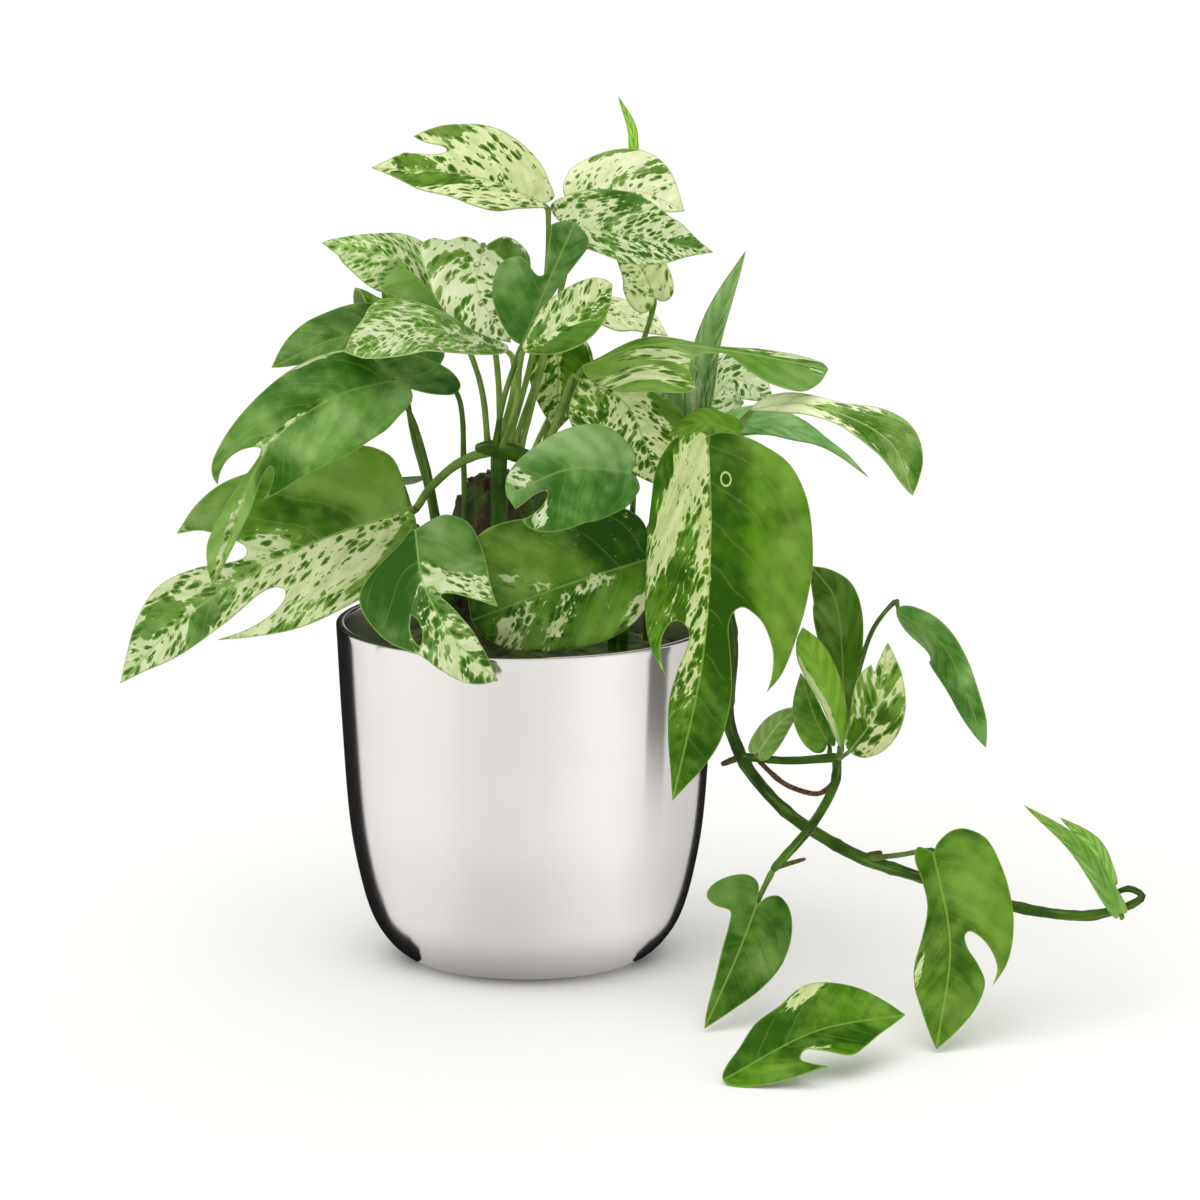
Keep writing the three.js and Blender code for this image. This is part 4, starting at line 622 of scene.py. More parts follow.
# Stems whose groups the metal mirrors. The others are out of its sight, as in the photograph.
MIRRORED = ("crown", "left")

# Outside of the cup from the foot to the rim, as radius and height.
POT_PROFILE: tuple[Point, ...] = (
    (52, 0), (62, 3), (70, 9.5), (78, 22), (84, 42), (89, 71), (92.5, 121), (95, 171),
)


def smooth_table(keys: Array, values: Array, places: Array) -> Array:
    """Reads a table smoothly: a cubic between two entries follows the slopes through its neighbours.

    Args:
        keys: rising places of the entries.
        values: a value, or a row of values, for each.
        places: where to read.

    Returns:
        The values at the places.
    """
    last = len(keys) - 1
    before = np.maximum(np.arange(last + 1) - 1, 0)
    after = np.minimum(np.arange(last + 1) + 1, last)
    columns = values.reshape(last + 1, -1)
    slopes = (columns[after] - columns[before]) / (keys[after] - keys[before])[:, None]
    i = np.searchsorted(keys[1:-1], places, side="left")
    step = keys[i + 1] - keys[i]
    u = np.clip((places - keys[i]) / step, 0, 1)[:, None]
    w = 1 - u
    read = columns[i] * w**2 * (1 + 2 * u) + columns[i + 1] * u**2 * (3 - 2 * u)
    read = read + step[:, None] * u * w * (slopes[i] * w - slopes[i + 1] * u)
    return read.reshape((len(places),) + values.shape[1:])


def unit(vectors: Array) -> Array:
    """Vectors scaled to length 1."""
    return vectors / np.maximum(np.linalg.norm(vectors, axis=-1, keepdims=True), 1e-9)


def eased(share: Array) -> Array:
    """A share from 0 to 1 that starts and ends smoothly."""
    return share * share * (3 - 2 * share)


def ring_faces(rings: int, sides: int, inward: bool = False) -> Array:
    """Four-cornered faces that join each ring of corners to the next.

    Args:
        rings: how many rings of corners there are.
        sides: corners in a ring.
        inward: true to turn the faces over.

    Returns:
        The faces, as rows of corner numbers.
    """
    start = np.arange(rings - 1)[:, None] * sides
    k = np.arange(sides)[None]
    after = (k + 1) % sides
    quads = np.stack([start + k, start + after, start + sides + after, start + sides + k], axis=-1)
    quads = quads.reshape(-1, 4)
    return quads[:, [0, 3, 2, 1]] if inward else quads


def fan(pole: int, first: int, sides: int, inward: bool = False) -> Array:
    """Triangles that join a pole to the ring of corners that starts at a number.

    Args:
        pole: the pole's number.
        first: the number of the ring's first corner.
        sides: corners in the ring.
        inward: true to turn the faces over.

    Returns:
        The triangles, as rows of corner numbers.
    """
    k = np.arange(sides)
    rows = np.stack([np.full(sides, pole), first + k, first + (k + 1) % sides], axis=1)
    return rows[:, [0, 2, 1]] if inward else rows


def rib_frame(turn: float, along: Array) -> tuple[Array, Array]:
    """Directions on a midrib: across the blade to its right, and out of its upper face.

    Args:
        turn: degrees that the upper face turns from the front towards its own right side.
        along: unit direction of the midrib, or rows of them.

    Returns:
        Unit directions across and out.
    """
    right = unit(np.cross(along, FRONT))
    up = np.cross(right, along)
    angle = math.radians(turn)
    return right * math.cos(angle) - up * math.sin(angle), up * math.cos(angle) + right * math.sin(angle)


def linear(code: str) -> tuple[float, float, float, float]:
    """A display colour such as "3d6b2c" as linear red, green, blue and alpha.

    Args:
        code: six hexadecimal digits.

    Returns:
        Four numbers between 0 and 1.
    """
    parts = [int(code[i : i + 2], 16) / 255 for i in (0, 2, 4)]
    red, green, blue = (p / 12.92 if p <= 0.04045 else ((p + 0.055) / 1.055) ** 2.4 for p in parts)
    return (red, green, blue, 1.0)


@dataclass(frozen=True)
class Ripple:
    """Smooth seeded unevenness between about -1 and 1: a sum of sine waves in random directions.

    Attributes:
        seed: starts the draw of directions and phases.
        size: about the width of one bump.
        waves: how many waves are added.
    """

    seed: int
    size: float
    waves: int = 14

    def at(self, places: Array) -> Array:
        """The unevenness at places.

        Args:
            places: rows of any number of columns.

        Returns:
            A number for each place.
        """
        draw = np.random.default_rng(self.seed)
        ways = unit(draw.normal(size=(self.waves, places.shape[1])))
        ways = ways * (2 * np.pi / self.size) * draw.uniform(0.5, 1.6, (self.waves, 1))
        phases = draw.uniform(0, 2 * np.pi, self.waves)
        return np.sin(places @ ways.T + phases).sum(axis=1) / math.sqrt(self.waves)


class SmoothLine:
    """A line through points, read by the share of its chord length."""

    def __init__(self, points: tuple[Point, ...]) -> None:
        """Keeps the points and the share of the length at each.

        Args:
            points: what the line passes.
        """
        self.points = np.array(points, dtype=float)
        steps = np.linalg.norm(np.diff(self.points, axis=0), axis=1)
        self.length = float(steps.sum())
        self.keys = np.concatenate([[0.0], np.cumsum(steps)]) / self.length

    def at(self, share: Array) -> Array:
        """Points at shares of the length, held between its ends."""
        return smooth_table(self.keys, self.points, np.clip(share, 0, 1))

    def direction(self, share: Array) -> Array:
        """Unit directions at shares of the length."""
        s = np.clip(share, 0.01, 0.99)
        return unit(self.at(s + 0.01) - self.at(s - 0.01))


def new_object(
    name: str,
    points: Array,
    faces: list[Array],
    materials: list[Material],
    slots: Array | None = None,
    flat: Array | None = None,
    values: dict[str, Array] | None = None,
) -> bpy.types.Object:
    """Makes a mesh object at the origin.

    Args:
        name: the object's name.
        points: corners in millimetres.
        faces: one or more arrays of corner numbers, each with one number of corners a face.
        materials: the object's materials.
        slots: the material number of each face, in the order of faces.
        flat: true for each face that is shaded flat.
        values: named numbers or vectors for each corner.

    Returns:
        The object, linked to the scene.
    """
    mesh = bpy.data.meshes.new(name)
    rows = [row for array in faces for row in array.tolist()]
    mesh.from_pydata((points * MM).tolist(), [], rows)
    for material in materials:
        mesh.materials.append(material)
    smooth = np.ones(len(rows), dtype=bool) if flat is None else ~flat
    mesh.polygons.foreach_set("use_smooth", smooth)
    if slots is not None:
        mesh.polygons.foreach_set("material_index", slots.astype(np.int32))
    for key, value in (values or {}).items():
        kind, field_name = ("FLOAT", "value") if value.ndim == 1 else ("FLOAT_VECTOR", "vector")
        attribute = mesh.attributes.new(key, kind, "POINT")
        attribute.data.foreach_set(field_name, value.astype(np.float32).ravel())
    mesh.update()
    made = bpy.data.objects.new(name, mesh)
    bpy.context.scene.collection.objects.link(made)
    return made


def register(piece: bpy.types.Object, node: str) -> None:
    """The piece rides on the root body and stands for a node of the frame.

    Args:
        piece: the finished object.
        node: the frame's node.
    """
    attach(piece, "root")
    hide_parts(node)
    log.info("%s: %d faces", piece.name, len(piece.data.polygons))


class NodeKit:
    """Adds nodes to a node tree and links them."""

    def __init__(self, tree: bpy.types.NodeTree) -> None:
        """Works on that tree."""
        self.tree = tree

    def feed(self, node: bpy.types.Node, inputs: dict) -> None:
        """Fills inputs of a node.

        Args:
            node: the node to feed.
            inputs: a socket to link or a value to set, by input name or number.
        """
        for key, value in inputs.items():
            if isinstance(value, Socket):
                self.tree.links.new(value, node.inputs[key])
            else:
                node.inputs[key].default_value = value

    def add(self, kind: str, inputs: dict | None = None, **settings: object) -> bpy.types.Node:
        """A new node.

        Args:
            kind: its type name.
            inputs: a socket to link or a value to set, by input name or number.
            settings: properties of the node.

        Returns:
            The node.
        """
        node = self.tree.nodes.new(kind)
        for key, value in settings.items():
            setattr(node, key, value)
        self.feed(node, inputs or {})
        return node

    def group(self, tree: bpy.types.NodeTree, inputs: dict) -> bpy.types.NodeOutputs:
        """The outputs of a node group placed in the tree."""
        return self.add("ShaderNodeGroup", inputs, node_tree=tree).outputs

    def bump(self, height: object, strength: float, distance: float) -> Socket:
        """A normal bent by a height."""
        inputs = {"Height": height, "Strength": strength, "Distance": distance}
        return self.add("ShaderNodeBump", inputs).outputs[0]

    def math(self, operation: str, a: object, b: object = 0.0, c: object = 0.0) -> Socket:
        """The result of a math node."""
        inputs = {0: a, 1: b, 2: c} if operation == "MULTIPLY_ADD" else {0: a, 1: b}
        return self.add("ShaderNodeMath", inputs, operation=operation).outputs[0]

    def mix(self, share: object, a: object, b: object, blend: str = "MIX") -> Socket:
        """Colour a turned into colour b by a share."""
        node = self.add("ShaderNodeMix", {0: share, 6: a, 7: b}, data_type="RGBA", blend_type=blend)
        return node.outputs[2]

    def ramp(self, value: object, low: float, high: float, a: float = 0, b: float = 1) -> Socket:
        """A smooth step from a to b as the value goes from low to high."""
        inputs = {"Value": value, "From Min": low, "From Max": high, "To Min": a, "To Max": b}
        return self.add("ShaderNodeMapRange", inputs, interpolation_type="SMOOTHSTEP").outputs[0]

    def noise(self, place: object, scale: float, detail: float = 2) -> Socket:
        """Plain noise between 0 and 1."""
        inputs = {"Vector": place, "Scale": scale, "Detail": detail, "Roughness": 0.5}
        return self.add("ShaderNodeTexNoise", inputs, noise_dimensions="3D").outputs["Fac"]

    def stretch(self, place: object, scale: Point) -> Socket:
        """A place with each axis scaled."""
        return self.add("ShaderNodeVectorMath", {0: place, 1: scale}, operation="MULTIPLY").outputs[0]

    def length(self, place: object) -> Socket:
        """The length of a vector."""
        return self.add("ShaderNodeVectorMath", {0: place}, operation="LENGTH").outputs["Value"]

    def vector(self, *parts: object) -> Socket:
        """A vector from two or three numbers."""
        return self.add("ShaderNodeCombineXYZ", dict(enumerate(parts))).outputs[0]

    def parts(self, place: object) -> bpy.types.NodeOutputs:
        """The three numbers of a vector."""
        return self.add("ShaderNodeSeparateXYZ", {0: place}).outputs

    def dimmed(self, colour: object, value: object) -> Socket:
        """A colour with its brightness scaled."""
        return self.add("ShaderNodeHueSaturation", {"Color": colour, "Value": value}).outputs[0]

    def value_of(self, name: str, output: str = "Fac") -> Socket:
        """A named value of the mesh."""
        return self.add("ShaderNodeAttribute", attribute_name=name).outputs[output]


def new_material(name: str) -> tuple[Material, NodeKit, bpy.types.Node]:
    """An empty node material with its Principled shader.

    Args:
        name: the material's name.

    Returns:
        The material, a kit on its tree and the shader.
    """
    material = bpy.data.materials.new(name)
    material.use_nodes = True
    kit = NodeKit(material.node_tree)
    return material, kit, material.node_tree.nodes["Principled BSDF"]


def new_group(
    name: str, inputs: dict[str, str], outputs: tuple[str, ...],
) -> tuple[NodeKit, dict, bpy.types.Node]:
    """An empty shader node group.

    Args:
        name: its name.
        inputs: socket types by name.
        outputs: names of its outputs, all plain numbers.

    Returns:
        A kit on its tree, the input sockets by name and the output node.
    """
    tree = bpy.data.node_groups.new(name, "ShaderNodeTree")
    for key, kind in inputs.items():
        tree.interface.new_socket(name=key, in_out="INPUT", socket_type=f"NodeSocket{kind}")
    for key in outputs:
        tree.interface.new_socket(name=key, in_out="OUTPUT", socket_type="NodeSocketFloat")
    kit = NodeKit(tree)
    source = kit.add("NodeGroupInput")
    return kit, {key: source.outputs[key] for key in inputs}, kit.add("NodeGroupOutput")


def inside(points: Array, outline: Array) -> Array:
    """Which flat points lie inside a closed outline, by the even-odd rule.

    Args:
        points: rows of two numbers.
        outline: corners in order.

    Returns:
        True for each point inside.
    """
    a, b = outline, np.roll(outline, -1, axis=0)
    x, y = points[:, :1], points[:, 1:2]
    crosses = (a[:, 1] > y) != (b[:, 1] > y)
    rise = np.where(np.abs(b[:, 1] - a[:, 1]) < 1e-12, 1e-12, b[:, 1] - a[:, 1])
    at = a[:, 0] + (y - a[:, 1]) / rise * (b[:, 0] - a[:, 0])
    return (crosses & (x < at)).sum(axis=1) % 2 == 1


def within(points: Array, rings: list[Array]) -> Array:
    """Which flat points lie inside the first ring and outside all the others.

    Args:
        points: rows of two numbers.
        rings: closed outlines.

    Returns:
        True for each such point.
    """
    keep = inside(points, rings[0])
    for ring in rings[1:]:
        keep &= ~inside(points, ring)
    return keep


def distance_to(points: Array, outline: Array) -> Array:
    """Distance of flat points from a closed outline.

    Args:
        points: rows of two numbers.
        outline: corners in order.

    Returns:
        A distance for each point.
    """
    a, b = outline, np.roll(outline, -1, axis=0)
    run = b - a
    offset = points[:, None, :] - a[None]
    share = np.clip((offset * run).sum(axis=2) / np.maximum((run**2).sum(axis=1), 1e-12), 0, 1)
    return np.linalg.norm(offset - share[:, :, None] * run, axis=2).min(axis=1)


def shares_of(rows: tuple[Point, ...]) -> list[Point]:
    """An outline in percent as shares, with its marks for sharp points."""
    return [(along / 100, out / 100, *sharp) for along, out, *sharp in rows]


def smooth_outline(rows: list[Point], scale: Array, step: float) -> Array:
    """An outline through its points, smooth except at sharp points, with corners at even steps.

    Between two points it is the cubic whose middle lies at (9(p+n) - before - after)/16.

    Args:
        rows: shares along and across, and 1 for a sharp point.
        scale: millimetres for a share of 1 along and across.
        step: largest distance between corners in millimetres.

    Returns:
        The corners as shares, from the first point to the last.
    """
    points = np.array([row[:2] for row in rows])
    sharp = np.array([len(row) > 2 and row[2] > 0 for row in rows])
    last = len(rows) - 1
    pieces = []
    for i in range(last):
        p, n = points[i], points[i + 1]
        before = 2 * p - n if sharp[i] or i == 0 else points[i - 1]
        after = 2 * n - p if sharp[i + 1] or i + 1 == last else points[i + 2]
        count = max(2, math.ceil(float(np.linalg.norm((n - p) * scale)) / step))
        u = (np.arange(count) / count)[:, None]
        slope_p, slope_n = (n - before) / 2, (after - p) / 2
        near, far = (1 - u) ** 2 * (1 + 2 * u), u**2 * (3 - 2 * u)
        pieces.append(p * near + n * far + u * (1 - u) ** 2 * slope_p - u**2 * (1 - u) * slope_n)
    return np.concatenate(pieces + [points[-1:]])


@dataclass(frozen=True)
class BladeForm:
    """How every blade is given its fine form.

    Attributes:
        spacing: distance between corners of the mesh.
        thickness: of the blade in its middle.
        margin: its share of the thickness at the margin.
        quilting: height of the swelling between two side veins.
        groove: depth of the groove over the midrib.
        keel: height of the midrib on the underside.
        pairs: side veins on each half of the smallest blade.
        vein_step: length of midrib that brings one more side vein.
        rim: distance from the margin at which it has its full thickness.
        full: half width from which a blade has its whole relief.
        calm: distance from the midrib at which its swelling is whole.
        uneven: height of its seeded unevenness.
        bump: width of one such bump.
        apart: distance between the marbling of two blades in its noise.
    """

    spacing: float = 1.7
    thickness: float = 0.8
    margin: float = 0.6
    quilting: float = 0.4
    groove: float = 0.45
    keel: float = 0.9
    pairs: float = 4.0
    vein_step: float = 38.0
    rim: float = 3.0
    full: float = 22.0
    calm: float = 6.0
    uneven: float = 0.7
    bump: float = 30.0
    apart: float = 97.0


class BladeMesh:
    """The fine mesh of one blade: two faces over one net of triangles, closed by a wall at the margin.

    Three shares of the mesh's spacing lay out the net: the step between its rows, and the least distance
    of its corners from the midrib and from the margin.
    """

    ROW_STEP = 0.87
    RIB_CLEAR = 0.45
    RING_CLEAR = 0.5

    def __init__(self, blade: Blade, form: BladeForm, number: int) -> None:
        """Keeps what the mesh is made from.

        Args:
            blade: the blade.
            form: the form shared by all blades.
            number: seeds its unevenness.
        """
        self.blade = blade
        self.form = form
        self.line = SmoothLine(blade.rib)
        self.seed = number

    def margin(self, side: Side) -> Array:
        """The margin of one half as shares, from the notch to the tip.

        Args:
            side: which half.

        Returns:
            Rows of a share along the midrib and a share of the half width.
        """
        own = self.blade.left if side is Side.LEFT else self.blade.right
        lobe = 1.0 if own else self.blade.heart
        rows = shares_of(own or HEART_OUTLINE)
        rows = [(along * lobe if along < 0 else along, *rest) for along, *rest in rows]
        rows = [(0.0, 0.0, 1), *rows, (1.0, 0.0, 1)]
        scale = np.array([self.line.length, self.half(side)])
        return smooth_outline(rows, scale, self.form.spacing)

    def half(self, side: Side) -> float:
        """Half width on one side."""
        return self.blade.wide[0] if side is Side.LEFT else self.blade.wide[1]

    def shares(self, flat: Array) -> tuple[Array, Array, Array]:
        """Share along the midrib, signed share of the half width, and the half width, for flat corners."""
        half = np.where(flat[:, 1] < 0, self.blade.wide[0], self.blade.wide[1])
        return flat[:, 0] / self.line.length, flat[:, 1] / half, half

    def spot(self, share: float, spread: float) -> Array:
        """The flat place at a share along the midrib and a signed share of the half width."""
        side = Side.LEFT if spread < 0 else Side.RIGHT
        return np.array([share * self.line.length, spread * self.half(side)])

    def rings(self) -> tuple[list[Array], int]:
        """The outlines of the blade and of its holes, in the flat.

        Returns:
            The blade's outline and then those of the holes, and the tip's number in the first.
        """
        right, left = (
            self.margin(side) * np.array([self.line.length, side.value * self.half(side)])
            for side in (Side.RIGHT, Side.LEFT)
        )
        rings = [np.concatenate([right, left[-2:0:-1]])]
        for side, hole in self.blade.holes:
            size = np.array([self.line.length, self.half(side)])
            spots = smooth_outline(shares_of((*hole, hole[0])), size, self.form.spacing)[:-1]
            rings.append(spots * size * np.array([1, side.value]))
        return rings, len(right) - 1

    def filling(self, rings: list[Array]) -> tuple[Array, Array]:
        """Corners along the midrib, and others spread evenly inside the rings.

        Args:
            rings: the outline in the flat and those of the holes.

        Returns:
            The corners along the midrib, and the others.
        """
        step, length = self.form.spacing, self.line.length
        low, high = rings[0].min(axis=0), rings[0].max(axis=0)
        grid = []
        for k, y in enumerate(np.arange(low[1], high[1], step * self.ROW_STEP)):
            x = np.arange(low[0] + (k % 2) * step / 2, high[0], step)
            grid.append(np.stack([x, np.full_like(x, y)], axis=1))
        spots = np.concatenate(grid)
        spots = spots[np.abs(spots[:, 1]) > step * self.RIB_CLEAR]
        keep = within(spots, rings)
        for ring in rings:
            keep &= distance_to(spots, ring) > step * self.RING_CLEAR
        count = int(length / step)
        rib = np.arange(1, count) * length / count
        return np.stack([rib, np.zeros_like(rib)], axis=1), spots[keep]

    def net(self) -> tuple[Array, Array, Array]:
        """The net of triangles in the flat.

        Returns:
            Corners as millimetres along the midrib and out to the right of it, the triangles, whose
            corners run anticlockwise seen from above, and each corner's distance from the margin.
        """
        rings, tip = self.rings()
        rib, spots = self.filling(rings)
        edges, start = [], 0
        for ring in rings:
            numbers = np.arange(start, start + len(ring))
            edges += np.stack([numbers, np.roll(numbers, -1)], axis=1).tolist()
            start += len(ring)
        chain = [0, *range(start, start + len(rib)), tip]
        edges += [[a, b] for a, b in zip(chain[:-1], chain[1:])]
        places = np.concatenate([*rings, rib, spots])
        found = delaunay_2d_cdt([Vector(p) for p in places.tolist()], edges, [], 1, 1e-6)
        corners, faces = np.array([tuple(p) for p in found[0]]), np.array(found[2])
        faces = faces[within(corners[faces].mean(axis=1), rings)]
        used, numbers = np.unique(faces, return_inverse=True)
        corners, faces = corners[used], numbers.reshape(faces.shape)
        one, two = (corners[faces[:, k]] - corners[faces[:, 0]] for k in (1, 2))
        turned = one[:, 0] * two[:, 1] - one[:, 1] * two[:, 0] > 0
        faces[turned] = faces[turned][:, ::-1]
        return corners, faces, np.min([distance_to(corners, ring) for ring in rings], axis=0)

    def place(self, flat: Array) -> Array:
        """Points of the blade's middle surface.

        The midrib's frame is turned about the midrib by the blade's turn, each half is lifted by the
        fold, and the margin waves by the square of the spread.

        Args:
            flat: corners in the flat.

        Returns:
            A point for each corner.
        """
        blade = self.blade
        side = np.where(flat[:, 1] < 0, -1.0, 1.0)
        share, spread, half = self.shares(flat)
        spread = np.abs(spread)
        along = self.line.direction(share)
        centre = self.line.at(share) + along * (self.line.length * np.minimum(share, 0))[:, None]
        across, normal = rib_frame(blade.turn, along)
        lift = math.radians(blade.fold)
        wave = blade.wave * spread**2 * np.sin(11 * share + side * 1.3 + 0.1 * half)
        out = (side * half * spread * math.cos(lift))[:, None]
        high = (half * spread * math.sin(lift) + wave)[:, None]
        return centre + across * out + normal * high

    def facing(self, flat: Array) -> Array:
        """Directions of the upper face, from the slopes of the middle surface along and across.

        Args:
            flat: corners in the flat.

        Returns:
            A unit direction for each corner.
        """
        step = 0.6
        ahead, behind = flat + [step, 0], flat - [step, 0]
        along = self.place(ahead) - self.place(behind)
        out = self.place(flat + [0, step]) - self.place(flat - [0, step])
        return unit(np.cross(out, along))

    def veins(self, flat: Array) -> Array:
        """Where the side vein through each corner starts: less far along, the more it has swept outwards.

        Args:
            flat: corners in the flat.

        Returns:
            A share of the midrib for each corner.
        """
        share, spread, _ = self.shares(flat)
        sweep = self.blade.sweep * eased(np.clip((share + 0.25) / 0.6, 0, 1))
        return share - sweep * np.abs(spread) ** 1.25

    def patched(self, flat: Array, start: Array, base: float, patches: tuple[Point, ...]) -> Array:
        """A number over the blade: a base, moved by patches that fade out from half their size.

        Args:
            flat: corners in the flat.
            start: the side vein's start for each corner.
            base: the number away from the patches.
            patches: rows of the patches, each only on its own half.

        Returns:
            The number for each corner.
        """
        spread = self.shares(flat)[1]
        balance = np.full(len(flat), float(base))
        for patch in map(Patch.of, patches):
            centre = self.spot(patch.share, patch.spread)[None]
            across = (start - float(self.veins(centre)[0])) / patch.across
            along = (spread - patch.spread) / patch.along
            weight = eased(np.clip(1.5 - np.hypot(across, along), 0, 1))
            own_half = spread * math.copysign(1, patch.spread) > -0.02
            balance = balance + patch.amount * (weight * own_half)
        return balance

    def scar(self, flat: Array) -> Array:
        """Offset of each corner from the middle of the blade's scar, or a far one where it has none.

        Args:
            flat: corners in the flat.

        Returns:
            A vector for each corner, in millimetres.
        """
        if self.blade.scar is None:
            return np.full((len(flat), 3), 99.0)
        return np.column_stack([flat - self.spot(*self.blade.scar), np.zeros(len(flat))])

    def marks(self, flat: Array, inward: Array, pairs: float) -> dict[str, Array]:
        """Named values of the flat corners, which the finish turns into the blade's markings.

        Args:
            flat: corners in the flat.
            inward: their distance from the margin.
            pairs: side veins on each half.

        Returns:
            Numbers or vectors for each corner.
        """
        blade, length = self.blade, self.line.length
        start = self.veins(flat)
        share = np.clip(flat[:, 0] / length, 0, 1)
        lean = math.hypot(1.0, blade.sweep * length / (0.5 * sum(blade.wide)))
        blank = np.ones(len(flat))
        across, along = start * length / (blade.coarse * lean), flat[:, 1] * lean / blade.coarse
        return {
            "along": flat[:, 0],
            "out": flat[:, 1],
            "vein": start * pairs,
            "rim": inward,
            "balance": self.patched(flat, start, blade.cream, blade.patches),
            # fresh also carries the painted light and shade of the blade's light patches.
            "fresh": self.patched(flat, start, blade.fresh, blade.lights),
            "grey": blade.grey[0] * (1 - share) + blade.grey[1] * share,
            "shade": blank * blade.shade,
            "bright": blank * blade.bright,
            "scar": self.scar(flat),
            "weave": np.stack([across, along, blank * self.form.apart * self.seed], axis=1),
        }

    @staticmethod
    def closed(faces: Array, count: int) -> list[Array]:
        """The upper triangles, the lower ones turned over, and a wall along every open edge.

        Args:
            faces: triangles of one face of the blade.
            count: corners of one face.

        Returns:
            The three lots of faces.
        """
        edges = np.concatenate([faces[:, [0, 1]], faces[:, [1, 2]], faces[:, [2, 0]]])
        keys = edges[:, 0] * count + edges[:, 1]
        a, b = edges[~np.isin(keys, edges[:, 1] * count + edges[:, 0])].T
        return [faces, faces[:, ::-1] + count, np.stack([b, a, a + count, b + count], axis=1)]

    def build(self, materials: list[Material]) -> bpy.types.Object:
        """Makes the blade's object.

        Both faces follow the middle surface. The upper one swells between the side veins and sinks over
        the midrib, the lower one has a keel under it, and both thin towards the margin.

        Args:
            materials: for the upper face, the underside and the margin.

        Returns:
            The object.
        """
        form = self.form
        flat, faces, inward = self.net()
        points, facing = self.place(flat), self.facing(flat)
        rim = eased(np.clip(inward / form.rim, 0, 1))
        size = min(1.0, min(self.blade.wide) / form.full)
        out = np.abs(flat[:, 1])
        pairs = form.pairs + self.line.length / form.vein_step
        swell = np.abs(np.sin(np.pi * pairs * self.veins(flat))) ** 0.7 - 0.5
        away = np.clip(out / form.calm, 0, 1)
        ripple = Ripple(self.seed, form.bump).at(flat) * form.uneven * away * np.clip(inward / 8, 0.25, 1)
        relief = form.quilting * size * swell * rim * away + ripple * size
        narrow = (1.2 + 1.0 * np.clip(1 - flat[:, 0] / self.line.length, 0, 1)) * size
        rib = np.exp(-((out / narrow) ** 2)) * np.clip(rim * 1.5, 0, 1)
        thick = form.thickness * (form.margin + (1 - form.margin) * rim)
        top = points + facing * (relief + thick / 2 - form.groove * size * rib)[:, None]
        low = points + facing * (relief - thick / 2 - form.keel * size * rib)[:, None]
        rows = self.closed(faces, len(points))
        slots = np.repeat([0, 1, 2], [len(r) for r in rows])
        marks = self.marks(flat, inward, pairs).items()
        return new_object(
            f"{self.blade.name}_fine", np.concatenate([top, low]), rows, materials, slots,
            flat=slots == 2, values={key: np.concatenate([mark, mark]) for key, mark in marks},
        )


@dataclass(frozen=True)
class LeafColours:
    """Colours of one kind of blade, as display codes.

    Attributes:
        deep: the darkest green, along the side veins.
        fresh: the green between them.
        light: the lightest green, a painted sheen where the surface would be glossy.
        pale: the half-way green at the edge of the cream.
        cream: the cream of the marbling.
        line: the midrib and the margin.
    """

    deep: str
    fresh: str
    light: str
    pale: str
    cream: str
    line: str


LEAF_COLOURS: dict[Tone, LeafColours] = {
    Tone.DARK: LeafColours("1e4a00", "4c7c0c", "88ac52", "7f9f4e", "cfd9a2", "86a550"),
    Tone.BRIGHT: LeafColours("2a5a00", "5e940e", "90ba4c", "8bb043", "d3dda0", "8aae46"),
    Tone.MARBLED: LeafColours("2a5a02", "6a9a22", "95b658", "9bb860", "dce3ac", "9dbb66"),
    Tone.PALE: LeafColours("40720e", "84ac3c", "aac678", "b4ca80", "ecf1c6", "bccf8f"),
}
# The greyer colours of a painted sheen, which a blade turns to by its grey value.
SHEEN_GREY_COLOURS = LeafColours("30621c", "588842", "9cba86", "93b078", "d0dcb8", "9cb77c")


